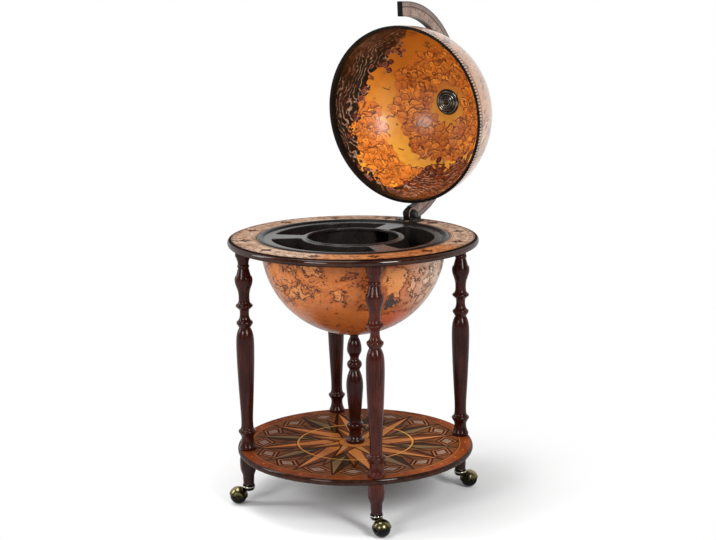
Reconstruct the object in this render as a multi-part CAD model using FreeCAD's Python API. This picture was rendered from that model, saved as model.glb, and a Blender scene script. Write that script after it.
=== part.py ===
import FreeCAD, Part
import math
import os

# A floor globe bar: a printed half globe hangs in a round table ring on four turned legs,
# and its other half opens backwards on a half-round meridian arc.
# Millimetres, +Z up, the floor at z = 0, the hinge at the back (+Y), the front towards -Y.

os.makedirs("parts", exist_ok=True)
V = FreeCAD.Vector
Z_AXIS = V(0, 0, 1)
X_AXIS = V(1, 0, 0)

# Driving dimensions
front_angle = -90.0
globe_radius = 215.7
ring_top = 636.0
ring_thickness = 17.0
shelf_top = 135.0
shelf_thickness = 14.0
ball_radius = 20.0
caster_trail = 25.0
lid_open_angle = 86.0

# Clearances
running_gap = 0.06
pin_gap = 0.10
wall_gap = 0.30
side_gap = 0.70
same_place = 0.01

# Table ring and the hoop inside it. The ring is as wide as the hinge on its back needs.
ring_under = ring_top - ring_thickness
ring_edge_width = 8.5
ring_step = 1.0
ring_opening_gap = 9.8
ring_opening_radius = globe_radius + ring_opening_gap
ring_ledge_width = 6.0
ring_ledge_height = 8.0
ring_ledge_top = ring_under + ring_ledge_height
hoop_rise = 2.4
hoop_crown = ring_top + hoop_rise
hoop_inset = 10.7
hoop_inner_radius = globe_radius - hoop_inset
hoop_seat_width = 4.6
hoop_shoulder_radius = hoop_inner_radius + hoop_seat_width

# Serving tray: the bottle hole in its middle, and curved glass wells around it inside the hoop
tray_drop = 6.0
tray_seat = ring_top - tray_drop
tray_thickness = 4.0
tray_top = tray_seat + tray_thickness
tray_radius = hoop_shoulder_radius - wall_gap
well_count = 3
well_edge_gap = 15.0
well_width = 70.0
well_outer_radius = hoop_inner_radius - well_edge_gap
well_inner_radius = well_outer_radius - well_width
well_land_angle = 18.0
well_corner_radius = 9.0
well_mouth_radius = 2.0
well_depth = 72.0
well_wall = 3.0
bottle_edge_gap = 13.0
bottle_hole_radius = well_inner_radius - bottle_edge_gap
tray_lip_width = 5.5
tray_lip_height = 2.2

# Lower bowl and what stands in it
bowl_wall = 5.0
bowl_rim_drop = 1.0
bowl_centre = ring_under + bowl_rim_drop
bowl_flat_depth = 1.2
bowl_foot = bowl_centre - globe_radius + bowl_flat_depth
bowl_boss_radius = 34.0
bowl_boss_height = 9.0
bowl_boss_top = bowl_foot + bowl_boss_height
floor_block_radius = 30.0
floor_block_height = 30.0
bottle_floor_under = bowl_boss_top + floor_block_height
bottle_floor_thickness = 6.0
bottle_floor_top = bottle_floor_under + bottle_floor_thickness
bottle_floor_edge_gap = 1.5

# Screws and bolts
bolt_radius = 4.0
bolt_head_radius = 9.0
bolt_head_height = 3.6
bolt_depth_in_wood = 28.0
dowel_radius = 6.0
dowel_depth_in_ring = 11.0
dowel_depth_in_leg = 20.0
hole_end_gap = 1.0
screw_radius = 2.0
screw_head_radius = 4.2
screw_head_height = 1.8

# Shelf, legs and feet. The legs stand clear of the bowl, and the shelf reaches past the legs.
leg_radius = 21.1
leg_bowl_gap = 21.7
leg_circle_radius = globe_radius + leg_bowl_gap + leg_radius
leg_length = ring_under - shelf_top
shelf_under = shelf_top - shelf_thickness
shelf_edge_width = 3.5
shelf_overhang = 22.0
shelf_radius = leg_circle_radius + shelf_overhang
pillar_radius = 20.4
foot_radius = 19.6
caster_headroom = 10.0
foot_bottom = 2 * ball_radius + caster_headroom
foot_length = shelf_under - foot_bottom

# Casters
socket_flange_radius = 11.0
socket_flange_height = 1.2
socket_radius = 7.0
stem_radius = 5.0
stem_length = 27.0
collar_radius = 14.7
collar_top_radius = 13.4
collar_low_radius = 11.4
collar_rise = 14.0
collar_top = foot_bottom - socket_flange_height - wall_gap
collar_under = ball_radius + collar_rise
collar_belly_share = 0.6
collar_belly = collar_under + collar_belly_share * (collar_top - collar_under)
ball_half_width = 16.5
ball_groove_depth = 0.8
ball_groove_radius = 8.4
ball_groove_width = 1.6
hood_gap = 0.7
hood_wall = 1.6
hood_tilt = 10.0
hood_edge_rise = 1.0
cheek_reach = ball_half_width + hood_gap + hood_wall
ear_radius = 5.6
hub_radius = 4.6
hub_length = 1.4
hub_reach = cheek_reach + hub_length
axle_radius = 2.5
axle_head_radius = 3.8
axle_head_height = 1.2

# Lid: dome, arc and hinge. The lid is drawn closed and then swung open about the hinge.
dome_gap = 3.5
dome_centre = ring_top + dome_gap
dome_wall = 4.0
dome_lip_height = 3.0
dome_band_height = 16.0
dome_band_depth = 7.4
dome_band_inner_radius = globe_radius - dome_band_depth
dome_band_taper = 1.2
dome_flat_depth = 1.0
dome_pole_flat = globe_radius - dome_flat_depth
pole_cap_radius = 33.0
pole_boss_margin = 1.2
pole_boss_radius = pole_cap_radius + pole_boss_margin
pole_cap_seat = math.sqrt((globe_radius - dome_wall) ** 2 - pole_boss_radius ** 2)
pole_cap_height = 7.5
pole_knob_radius = 7.5
pole_knob_height = 6.5
arc_thickness = 15.0
arc_width = 35.6
arc_gap = 16.1
arc_mid_radius = globe_radius + arc_gap + arc_width / 2
arc_forward_shift = 4.2
arc_end_rise = 9.3
hinge_lobe_radius = 15.6
hinge_lobe_gap = 1.4
hinge_z = ring_top + hinge_lobe_radius + hinge_lobe_gap
hinge_y = math.sqrt(arc_mid_radius ** 2 - (hinge_z - dome_centre) ** 2) - arc_forward_shift
heel_drop = 10.0
spacer_radius = 13.0
spacer_waist_radius = 9.1
spacer_seat_depth = 0.8
plate_thickness = 3.0
plate_round_radius = 12.5
plate_foot_reach = 20.0
plate_foot_length = 34.0
hinge_pin_radius = 4.0
hinge_nut_radius = 8.5
hinge_nut_height = 4.5
hinge_knob_radius = 9.2
hinge_knob_height = 9.0
hinge_knob_rounding = 2.5
lid_rest_width = 18.0
lid_rest_length = 20.0
lid_rest_start = hinge_y + plate_foot_length / 2
lid_rest_margin = 1.5
ring_radius = lid_rest_start + lid_rest_length + lid_rest_margin + ring_step + ring_edge_width

# Legs stand on the diagonals. Each caster trails its own way.
corners = {
    "right_back": (45.0, 61.7),
    "left_back": (135.0, 150.0),
    "left_front": (225.0, 213.7),
    "right_front": (315.0, 331.1),
}


def save(name, shape):
    shape.exportStep("parts/" + name + ".step")


def rod(radius, low, high, x=0.0, y=0.0):
    return Part.makeCylinder(radius, high - low, V(x, y, low), Z_AXIS)


def cross_rod(radius, low, high, y, z):
    return Part.makeCylinder(radius, high - low, V(low, y, z), X_AXIS)


def block(x_low, x_high, y_low, y_high, z_low, z_high):
    return Part.makeBox(x_high - x_low, y_high - y_low, z_high - z_low, V(x_low, y_low, z_low))


def ball(radius, z, x=0.0):
    return Part.makeSphere(radius, V(x, 0, z))


def on_circle(radius, angle):
    turn = math.radians(angle)
    return radius * math.cos(turn), radius * math.sin(turn)


def curve(points):
    places = [V(radius, 0, z) for radius, z in points]
    if len(places) == 2:
        return Part.makeLine(places[0], places[1])
    if len(places) == 3:
        return Part.Arc(places[0], places[1], places[2]).toShape()
    spline = Part.BSplineCurve()
    spline.interpolate(places)
    return spline.toShape()


# A solid of revolution. Two points make a line, three an arc, and more make a smooth curve.
# Each run of points starts where the last one stopped, or a short line joins them.
def turned(runs):
    edges = []
    last = None
    for run in runs:
        if last is not None and last != run[0]:
            edges.append(curve([last, run[0]]))
        edges.append(curve(run))
        last = run[-1]
    if last != runs[0][0]:
        edges.append(curve([last, runs[0][0]]))
    face = Part.Face(Part.Wire(edges))
    return face.revolve(V(0, 0, 0), Z_AXIS, 360)


# A turned wooden piece: points are shares of its radius and of its length, closed on the axis.
def spindle(radius, bottom, length, runs):
    tall = [[(width * radius, bottom + height * length) for width, height in run] for run in runs]
    top_radius, top_z = tall[-1][-1]
    foot_radius, foot_z = tall[0][0]
    closing = [[(top_radius, top_z), (0.0, top_z)], [(0.0, top_z), (0.0, foot_z)]]
    return turned(tall + closing + [[(0.0, foot_z), (foot_radius, foot_z)]])


def swing_open(shape):
    opened = shape.copy()
    opened.rotate(V(0, hinge_y, hinge_z), X_AXIS, -lid_open_angle)
    return opened


# Table ring: flat printed top, a small step and a half-round edge, and a ledge for the hoop
def make_table_ring():
    edge_mid = ring_top - ring_step - (ring_thickness - ring_step) / 2
    edge_start = ring_radius - ring_edge_width
    ledge_radius = ring_opening_radius - ring_ledge_width
    ring = turned([
        [(ledge_radius, ring_under), (edge_start, ring_under)],
        [(edge_start, ring_under), (ring_radius, edge_mid), (edge_start, ring_top - ring_step)],
        [(edge_start, ring_top - ring_step), (edge_start - ring_step, ring_top)],
        [(edge_start - ring_step, ring_top), (ring_opening_radius, ring_top)],
        [(ring_opening_radius, ring_top), (ring_opening_radius, ring_ledge_top)],
        [(ring_opening_radius, ring_ledge_top), (ledge_radius, ring_ledge_top)],
    ])
    for angle, trail_angle in corners.values():
        x, y = on_circle(leg_circle_radius, angle)
        top = ring_under + dowel_depth_in_ring + hole_end_gap
        ring = ring.cut(rod(dowel_radius + pin_gap, ring_under, top, x, y))
    for x, y in hinge_screw_places():
        ring = ring.cut(rod(screw_radius + pin_gap, ring_ledge_top, ring_top, x, y))
    for x, y in rest_screw_places():
        ring = ring.cut(rod(screw_radius + pin_gap, ring_ledge_top, ring_top, x, y))
    return ring


# Hoop with a rounded crown: it rests on the ring's ledge, the tray rests in it, the bowl hangs from it
def make_rim_hoop():
    outer = ring_opening_radius - wall_gap
    lower = ring_opening_radius - ring_ledge_width - wall_gap
    crown_radius = (outer + hoop_shoulder_radius) / 2
    crown_side = ring_top - ring_step
    return turned([
        [(hoop_inner_radius, ring_under), (lower, ring_under)],
        [(lower, ring_under), (lower, ring_ledge_top)],
        [(lower, ring_ledge_top), (outer, ring_ledge_top)],
        [(outer, ring_ledge_top), (outer, crown_side)],
        [(outer, crown_side), (crown_radius, hoop_crown), (hoop_shoulder_radius, crown_side)],
        [(hoop_shoulder_radius, crown_side), (hoop_shoulder_radius, tray_seat)],
        [(hoop_shoulder_radius, tray_seat), (hoop_inner_radius, tray_seat)],
    ])


# A rounded bead standing on the tray around a hole
def bead(inner_radius, width, height, base):
    return turned([
        [(inner_radius, base), (inner_radius + width, base)],
        [(inner_radius + width, base), (inner_radius + width / 2, base + height), (inner_radius, base)],
    ])


# The space of one glass well, or of its outside: a part of a ring with rounded corners
def well_space(wall, low, high, middle_angle):
    mid_radius = (well_inner_radius + well_outer_radius) / 2
    spread = 360 / well_count - well_land_angle + 2 * math.degrees(wall / mid_radius)
    space = Part.makeCylinder(well_outer_radius + wall, high - low, V(0, 0, low), Z_AXIS, spread)
    space = space.cut(rod(well_inner_radius - wall, low, high))
    upright = [edge for edge in space.Edges if abs(edge.BoundBox.ZLength - (high - low)) < same_place]
    space = space.makeFillet(well_corner_radius + wall, upright)
    space.rotate(V(0, 0, 0), Z_AXIS, middle_angle - spread / 2)
    return space


# An edge of a well's mouth lies in the tray's top, between the wells' inner and outer radius
def is_mouth_edge(edge):
    middle = edge.valueAt((edge.FirstParameter + edge.LastParameter) / 2)
    level = abs(middle.z - tray_top) < same_place and edge.BoundBox.ZLength < same_place
    from_axis = math.hypot(middle.x, middle.y)
    return level and well_inner_radius - same_place < from_axis < well_outer_radius + same_place


def make_serving_tray():
    tray = rod(tray_radius, tray_seat, tray_top)
    tray = tray.cut(rod(bottle_hole_radius, tray_seat, tray_top))
    tray = tray.fuse(bead(bottle_hole_radius, tray_lip_width, tray_lip_height, tray_top))
    well_floor = tray_top - well_depth
    for number in range(well_count):
        middle_angle = front_angle + number * 360 / well_count
        tray = tray.fuse(well_space(well_wall, well_floor - well_wall, tray_top, middle_angle))
        tray = tray.cut(well_space(0.0, well_floor, tray_top, middle_angle))
    tray = tray.removeSplitter()
    return tray.makeFillet(well_mouth_radius, [edge for edge in tray.Edges if is_mouth_edge(edge)])


# Half a hollow globe with a flat foot outside and a flat boss inside
def make_lower_bowl():
    shell = ball(globe_radius, bowl_centre)
    shell = shell.cut(ball(globe_radius - bowl_wall, bowl_centre))
    reach = globe_radius + bowl_wall
    shell = shell.cut(block(-reach, reach, -reach, reach, ring_under, ring_under + 2 * reach))
    boss = rod(bowl_boss_radius, bowl_centre - reach, bowl_boss_top).common(ball(globe_radius, bowl_centre))
    shell = shell.fuse(boss)
    shell = shell.cut(block(-reach, reach, -reach, reach, bowl_centre - 2 * reach, bowl_foot))
    shell = shell.cut(rod(bolt_radius + pin_gap, bowl_foot, bowl_boss_top))
    return shell.removeSplitter()


def make_bottle_floor():
    inner = globe_radius - bowl_wall
    depth = bowl_centre - bottle_floor_under
    radius = math.sqrt(inner ** 2 - depth ** 2) - bottle_floor_edge_gap
    disc = rod(radius, bottle_floor_under, bottle_floor_top)
    return disc.cut(rod(bolt_radius + pin_gap, bottle_floor_under, bottle_floor_top))


def make_floor_block():
    body = rod(floor_block_radius, bowl_boss_top, bottle_floor_under)
    return body.cut(rod(bolt_radius + pin_gap, bowl_boss_top, bottle_floor_under))


# The cut-off top of a ball, as on a round screw head
def round_head(radius, base, height):
    round_radius = (radius ** 2 + height ** 2) / (2 * height)
    return ball(round_radius, base + height - round_radius).common(rod(2 * radius, base, base + height))


# Round-headed bolt pointing down from z = seat
def bolt_down(seat, tip):
    head = round_head(bolt_head_radius, seat, bolt_head_height)
    return head.fuse(rod(bolt_radius, tip, seat)).removeSplitter()


def make_centre_pillar():
    length = bowl_foot - shelf_top
    pillar = spindle(pillar_radius, shelf_top, length, [
        [(1.029, 0.0), (1.103, 0.018), (1.029, 0.036)],
        [(0.833, 0.040), (0.686, 0.085), (0.784, 0.122)],
        [(0.784, 0.126), (0.995, 0.155), (0.784, 0.184)],
        [(0.696, 0.188), (0.676, 0.215), (0.809, 0.330), (0.961, 0.460),
         (1.000, 0.530), (0.833, 0.610), (0.618, 0.655)],
        [(0.618, 0.655), (0.637, 0.672)],
        [(0.637, 0.674), (0.877, 0.710), (0.637, 0.746)],
        [(0.588, 0.748), (0.534, 0.7725), (0.637, 0.795), (0.828, 0.825),
         (0.853, 0.860), (0.745, 0.910), (0.520, 0.950)],
        [(0.520, 0.950), (0.505, 0.966), (0.588, 0.980)],
        [(0.833, 0.984), (0.833, 1.0)],
    ])
    top_hole = rod(bolt_radius + pin_gap, bowl_foot - bolt_depth_in_wood - hole_end_gap, bowl_foot)
    low_hole = rod(bolt_radius + pin_gap, shelf_top, shelf_top + bolt_depth_in_wood + hole_end_gap)
    return pillar.cut(top_hole).cut(low_hole)


def make_pillar_screw():
    screw = bolt_down(0.0, -(shelf_thickness + bolt_depth_in_wood))
    screw.rotate(V(0, 0, 0), X_AXIS, 180)
    screw.translate(V(0, 0, shelf_under))
    return screw


def make_lower_shelf():
    flat = shelf_radius - shelf_edge_width
    mid = (shelf_top + shelf_under) / 2
    shelf = turned([
        [(0.0, shelf_under), (flat, shelf_under)],
        [(flat, shelf_under), (shelf_radius, mid), (flat, shelf_top)],
        [(flat, shelf_top), (0.0, shelf_top)],
        [(0.0, shelf_top), (0.0, shelf_under)],
    ])
    shelf = shelf.cut(rod(bolt_radius + pin_gap, shelf_under, shelf_top))
    for angle, trail_angle in corners.values():
        x, y = on_circle(leg_circle_radius, angle)
        shelf = shelf.cut(rod(bolt_radius + pin_gap, shelf_under, shelf_top, x, y))
    return shelf


# Turned leg on the axis: a flared base, a low ring between two coves, a long vase, two more such rings,
# a bulge with a step under its cone, a small bead and a flared top
def make_leg():
    leg = spindle(leg_radius, shelf_top, leg_length, [
        [(0.875, 0.0), (0.935, 0.008), (0.900, 0.017)],
        [(0.870, 0.018), (0.735, 0.036), (0.680, 0.056), (0.705, 0.068)],
        [(0.720, 0.069), (0.960, 0.087)],
        [(0.960, 0.087), (1.000, 0.0925), (0.960, 0.098)],
        [(0.960, 0.098), (0.790, 0.104), (0.715, 0.113)],
        [(0.690, 0.114), (0.672, 0.128), (0.725, 0.210), (0.891, 0.349),
         (0.991, 0.470), (1.000, 0.535), (0.863, 0.587), (0.630, 0.611)],
        [(0.650, 0.613), (0.875, 0.629)],
        [(0.875, 0.629), (0.915, 0.6355), (0.875, 0.642)],
        [(0.875, 0.642), (0.675, 0.650), (0.565, 0.662)],
        [(0.545, 0.664), (0.508, 0.681), (0.545, 0.698)],
        [(0.560, 0.699), (0.890, 0.713)],
        [(0.890, 0.713), (0.950, 0.719), (0.890, 0.725)],
        [(0.890, 0.725), (0.705, 0.732), (0.625, 0.743)],
        [(0.615, 0.744), (0.600, 0.763), (0.650, 0.786), (0.800, 0.808),
         (0.940, 0.826), (0.995, 0.843), (0.930, 0.862)],
        [(0.835, 0.863), (0.600, 0.901)],
        [(0.575, 0.902), (0.665, 0.912), (0.575, 0.922)],
        [(0.595, 0.923), (0.640, 0.936), (0.730, 0.948), (0.855, 0.960)],
        [(0.877, 0.961), (0.877, 1.0)],
    ])
    top = shelf_top + leg_length
    leg = leg.cut(rod(dowel_radius + pin_gap, top - dowel_depth_in_leg - hole_end_gap, top))
    return leg.cut(rod(bolt_radius + pin_gap, shelf_top, shelf_top + bolt_depth_in_wood + hole_end_gap))


# Turned foot: a cushion above and a slimmer neck below, drilled for the leg stud and the caster socket
def make_foot():
    foot = spindle(foot_radius, foot_bottom, foot_length, [
        [(0.655, 0.0), (0.690, 0.25)],
        [(0.690, 0.25), (0.735, 0.32), (0.850, 0.41), (0.935, 0.50)],
        [(0.945, 0.51), (1.000, 0.76), (0.930, 1.0)],
    ])
    stud_end = shelf_under - bolt_depth_in_wood - hole_end_gap
    foot = foot.cut(rod(bolt_radius + pin_gap, stud_end, shelf_under))
    return foot.cut(rod(socket_radius + pin_gap, foot_bottom, foot_bottom + stem_length + hole_end_gap))


def make_socket():
    sleeve = rod(socket_radius, foot_bottom, foot_bottom + stem_length)
    sleeve = sleeve.fuse(rod(socket_flange_radius, foot_bottom - socket_flange_height, foot_bottom))
    bore = rod(stem_radius + running_gap, foot_bottom - socket_flange_height, foot_bottom + stem_length)
    return sleeve.cut(bore).removeSplitter()


# Caster, drawn on its swivel axis with the ball trailing towards +X
def axle_rod(radius, reach):
    return Part.makeCylinder(radius, 2 * reach, V(caster_trail, -reach, ball_radius), V(0, 1, 0))


# Round cup between the foot and the hood
def make_collar():
    return turned([
        [(0.0, collar_under), (collar_low_radius, collar_under)],
        [(collar_low_radius, collar_under), (collar_radius, collar_belly), (collar_top_radius, collar_top)],
        [(collar_top_radius, collar_top), (0.0, collar_top)],
    ])


def make_caster_hood():
    outer = ball_radius + hood_gap + hood_wall
    reach = 2 * outer
    shell = ball(outer, ball_radius, caster_trail).common(axle_rod(reach, cheek_reach))
    below = block(-reach, reach, -reach, reach, -2 * reach, hood_edge_rise)
    below.rotate(V(0, 0, 0), V(0, 1, 0), -hood_tilt)
    below.translate(V(caster_trail, 0, ball_radius))
    ears = shell.common(axle_rod(ear_radius, reach))
    hood = shell.cut(below).fuse(ears)
    hood = hood.fuse(axle_rod(hub_radius, hub_reach))
    hood = hood.fuse(make_collar())
    room = ball(ball_radius + hood_gap, ball_radius, caster_trail)
    hood = hood.cut(room.common(axle_rod(reach, ball_half_width + hood_gap)))
    hood = hood.cut(axle_rod(axle_radius + pin_gap, reach))
    stem_top = foot_bottom + stem_length - hole_end_gap
    return hood.fuse(rod(stem_radius, collar_top, stem_top)).removeSplitter()


def make_caster_axle():
    axle = axle_rod(axle_radius, hub_reach)
    heads = axle_rod(axle_head_radius, hub_reach + axle_head_height)
    heads = heads.cut(axle_rod(2 * axle_head_radius, hub_reach))
    return axle.fuse(heads).removeSplitter()


# A ball with two flat sides, and a round groove in each flat
def make_caster_ball():
    reach = 2 * ball_radius
    wheel = ball(ball_radius, ball_radius, caster_trail).common(axle_rod(reach, ball_half_width))
    wheel = wheel.cut(axle_rod(axle_radius + running_gap, reach))
    groove = axle_rod(ball_groove_radius + ball_groove_width / 2, reach)
    groove = groove.cut(axle_rod(ball_groove_radius - ball_groove_width / 2, reach))
    groove = groove.cut(axle_rod(reach, ball_half_width - ball_groove_depth))
    return wheel.cut(groove)


def put(shape, turn, x, y):
    placed = shape.copy()
    placed.rotate(V(0, 0, 0), Z_AXIS, turn)
    placed.translate(V(x, y, 0))
    return placed


# Hinge: two upright plates with feet on the ring, one each side of the arc
def hinge_screw_places():
    x = arc_thickness / 2 + side_gap + plate_thickness + plate_foot_reach / 2
    spread = plate_foot_length / 3
    return [(side * x, hinge_y + step) for side in (-1, 1) for step in (-spread, spread)]


def rest_screw_places():
    middle = lid_rest_start + lid_rest_length / 2
    spread = lid_rest_length / 4
    return [(0.0, middle - spread), (0.0, middle + spread)]


def rest_screw_seat():
    return hinge_z - heel_drop - screw_head_height - side_gap


def make_hinge_plate(side):
    inner = arc_thickness / 2 + side_gap
    outer = inner + plate_thickness
    upright = cross_rod(plate_round_radius, inner, outer, hinge_y, hinge_z)
    half = plate_round_radius
    upright = upright.fuse(block(inner, outer, hinge_y - half, hinge_y + half, ring_top, hinge_z))
    half = plate_foot_length / 2
    foot_top = ring_top + plate_thickness
    foot = block(inner, outer + plate_foot_reach, hinge_y - half, hinge_y + half, ring_top, foot_top)
    plate = upright.fuse(foot)
    plate = plate.cut(cross_rod(hinge_pin_radius + pin_gap / 2, inner, outer, hinge_y, hinge_z))
    for x, y in hinge_screw_places():
        plate = plate.cut(rod(screw_radius + pin_gap, ring_top, foot_top, x, y))
    if side < 0:
        plate = plate.mirror(V(0, 0, 0), X_AXIS)
    return plate.removeSplitter()


def wood_screw(x, y, seat, tip):
    head = round_head(screw_head_radius, seat, screw_head_height)
    screw = head.fuse(rod(screw_radius, tip, seat)).removeSplitter()
    screw.translate(V(x, y, 0))
    return screw


def make_hinge_pin():
    outer = arc_thickness / 2 + side_gap + plate_thickness
    nut_end = outer + hinge_nut_height + hole_end_gap
    pin = cross_rod(hinge_pin_radius, -nut_end, outer, hinge_y, hinge_z)
    knob = cross_rod(hinge_knob_radius, outer, outer + hinge_knob_height, hinge_y, hinge_z)
    rim = [edge for edge in knob.Edges if abs(edge.CenterOfMass.x - outer - hinge_knob_height) < side_gap]
    rim = [edge for edge in rim if edge.Curve.TypeId == "Part::GeomCircle"]
    knob = knob.makeFillet(hinge_knob_rounding, rim)
    return pin.fuse(knob).removeSplitter()


def make_hinge_nut():
    outer = arc_thickness / 2 + side_gap + plate_thickness
    nut_corners = [on_circle(hinge_nut_radius, 30 + 60 * number) for number in range(7)]
    points = [V(-outer - hinge_nut_height, hinge_y + y, hinge_z + z) for y, z in nut_corners]
    nut = Part.Face(Part.makePolygon(points)).extrude(V(hinge_nut_height, 0, 0))
    far = 2 * outer + hinge_nut_height
    return nut.cut(cross_rod(hinge_pin_radius + pin_gap / 2, -far, 0, hinge_y, hinge_z))


# Block on the ring behind the hinge: the arc's heel lies on it when the lid is open
def make_lid_rest():
    half = lid_rest_width / 2
    rest = block(-half, half, lid_rest_start, lid_rest_start + lid_rest_length, ring_top, hinge_z - heel_drop)
    for x, y in rest_screw_places():
        rest = rest.cut(rod(screw_radius + pin_gap, ring_top, hinge_z - heel_drop, x, y))
        rest = rest.cut(rod(screw_head_radius + pin_gap, rest_screw_seat(), hinge_z - heel_drop, x, y))
    return rest


# Meridian arc: a half-round board in the YZ plane, round at the hinge, with a flat heel
def make_meridian_arc():
    half = arc_thickness / 2
    inner = arc_mid_radius - arc_width / 2
    outer = arc_mid_radius + arc_width / 2
    middle = V(-half, -arc_forward_shift, dome_centre)
    band = Part.makeCylinder(outer, arc_thickness, middle, X_AXIS)
    band = band.cut(Part.makeCylinder(inner, arc_thickness, middle, X_AXIS))
    reach = 2 * outer
    free_end = dome_centre + arc_end_rise
    band = band.cut(block(-half, half, -reach, 0, free_end - reach, free_end))
    band = band.cut(block(-half, half, 0, reach, hinge_z - reach, hinge_z))
    band = swing_open(band)
    heel = hinge_z - heel_drop
    band = band.cut(block(-half, half, hinge_y, hinge_y + reach, heel - reach, heel))
    band = band.fuse(cross_rod(hinge_lobe_radius, -half, half, hinge_y, hinge_z))
    band = band.cut(cross_rod(hinge_pin_radius + running_gap, -half, half, hinge_y, hinge_z))
    bore = rod(bolt_radius + pin_gap, dome_centre, dome_centre + reach)
    low_seat = rod(spacer_radius + wall_gap, dome_centre, dome_centre + arc_inner_seat())
    high_seat = rod(bolt_head_radius + wall_gap, dome_centre + arc_outer_seat(), dome_centre + reach)
    band = band.cut(swing_open(bore)).cut(swing_open(low_seat)).cut(swing_open(high_seat))
    return band.removeSplitter()


# Distances from the dome's centre to the flat seats on the arc at the pole
def arc_inner_seat():
    return arc_mid_radius - arc_width / 2 + spacer_seat_depth


def arc_outer_seat():
    return arc_mid_radius + arc_width / 2 - spacer_seat_depth


def make_dome_shell():
    shell = ball(globe_radius, dome_centre).cut(ball(globe_radius - dome_wall, dome_centre))
    reach = 2 * globe_radius
    rim = dome_centre + dome_lip_height
    shell = shell.cut(block(-reach, reach, -reach, reach, rim - reach, rim))
    flat = dome_centre + dome_pole_flat
    shell = shell.fuse(rod(pole_boss_radius, dome_centre + pole_cap_seat, flat))
    shell = shell.cut(block(-reach, reach, -reach, reach, flat, flat + reach))
    shell = shell.cut(rod(bolt_radius + running_gap, dome_centre, dome_centre + reach))
    return shell.removeSplitter()


# Dark band inside the rim, with a lip that covers the shell's edge
def make_dome_rim_band():
    rim = dome_centre
    lip = rim + dome_lip_height
    top = rim + dome_band_height
    inner = globe_radius - dome_wall
    outer_top = math.sqrt(inner ** 2 - dome_band_height ** 2) - wall_gap
    inner_top = dome_band_inner_radius - dome_band_taper
    return turned([
        [(dome_band_inner_radius, rim), (globe_radius, rim)],
        [(globe_radius, rim), (globe_radius, lip)],
        [(globe_radius, lip), (outer_top, lip)],
        [(outer_top, lip), (outer_top, top)],
        [(outer_top, top), (inner_top, top)],
        [(inner_top, top), (dome_band_inner_radius, rim)],
    ])


# Stepped bronze cap inside the pole
def make_pole_cap():
    seat = dome_centre + pole_cap_seat
    face = seat - pole_cap_height
    cap = spindle(pole_cap_radius, face, pole_cap_height, [
        [(0.28, 0.0), (0.32, 0.05), (0.34, 0.26)],
        [(0.34, 0.26), (0.45, 0.16), (0.53, 0.46)],
        [(0.53, 0.46), (0.63, 0.35), (0.72, 0.66)],
        [(0.72, 0.66), (0.89, 0.58), (1.0, 1.0)],
    ])
    return cap.cut(rod(bolt_radius + running_gap, face, seat))


# Bolt with a knob inside the dome, which runs out through the arc
def make_pole_bolt():
    face = dome_centre + pole_cap_seat - pole_cap_height - wall_gap
    knob = round_head(pole_knob_radius, 0.0, pole_knob_height)
    knob.rotate(V(0, 0, 0), X_AXIS, 180)
    knob.translate(V(0, 0, face))
    end = dome_centre + arc_outer_seat() + hinge_nut_height
    return knob.fuse(rod(bolt_radius, face, end)).removeSplitter()


def make_pole_spacer():
    low = dome_centre + dome_pole_flat + wall_gap
    high = dome_centre + arc_inner_seat()
    mid = (low + high) / 2
    spacer = turned([
        [(0.0, low), (spacer_radius, low)],
        [(spacer_radius, low), (spacer_waist_radius, mid), (spacer_radius, high)],
        [(spacer_radius, high), (0.0, high)],
        [(0.0, high), (0.0, low)],
    ])
    return spacer.cut(rod(bolt_radius + pin_gap, low, high))


# Cap nut on the arc's outer edge
def make_pole_nut():
    low = dome_centre + arc_outer_seat()
    high = low + hinge_nut_height + hole_end_gap
    nut = rod(bolt_head_radius, low, high)
    nut = nut.fuse(round_head(bolt_head_radius, high, hinge_nut_height))
    return nut.cut(rod(bolt_radius + pin_gap / 2, low, high)).removeSplitter()


# The stand
save("table_ring", make_table_ring())
save("rim_hoop", make_rim_hoop())
save("serving_tray", make_serving_tray())
save("lower_bowl", make_lower_bowl())
save("bottle_floor", make_bottle_floor())
save("floor_block", make_floor_block())
save("bowl_bolt", bolt_down(bottle_floor_top, bowl_foot - bolt_depth_in_wood))
save("centre_pillar", make_centre_pillar())
save("pillar_screw", make_pillar_screw())
save("lower_shelf", make_lower_shelf())

# The hinge on the ring
save("hinge_plate_left", make_hinge_plate(-1))
save("hinge_plate_right", make_hinge_plate(1))
save("hinge_pin", make_hinge_pin())
save("hinge_nut", make_hinge_nut())
save("lid_rest", make_lid_rest())
screw_tip = ring_ledge_top + hole_end_gap
plate_seat = ring_top + plate_thickness
screws = [wood_screw(x, y, plate_seat, screw_tip) for x, y in hinge_screw_places()]
screws += [wood_screw(x, y, rest_screw_seat(), screw_tip) for x, y in rest_screw_places()]
save("hinge_screws", Part.makeCompound(screws))

# Legs, feet and casters
leg = make_leg()
foot = make_foot()
socket = make_socket()
hood = make_caster_hood()
axle = make_caster_axle()
wheel = make_caster_ball()
dowels = []
studs = []
for corner, (angle, trail_angle) in corners.items():
    x, y = on_circle(leg_circle_radius, angle)
    save("leg_" + corner, put(leg, 0, x, y))
    save("foot_" + corner, put(foot, 0, x, y))
    save("caster_socket_" + corner, put(socket, 0, x, y))
    save("caster_hood_" + corner, put(hood, trail_angle, x, y))
    save("caster_axle_" + corner, put(axle, trail_angle, x, y))
    save("caster_ball_" + corner, put(wheel, trail_angle, x, y))
    dowels.append(rod(dowel_radius, ring_under - dowel_depth_in_leg, ring_under + dowel_depth_in_ring, x, y))
    studs.append(rod(bolt_radius, shelf_under - bolt_depth_in_wood, shelf_top + bolt_depth_in_wood, x, y))
save("leg_dowels", Part.makeCompound(dowels))
save("leg_studs", Part.makeCompound(studs))

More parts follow.
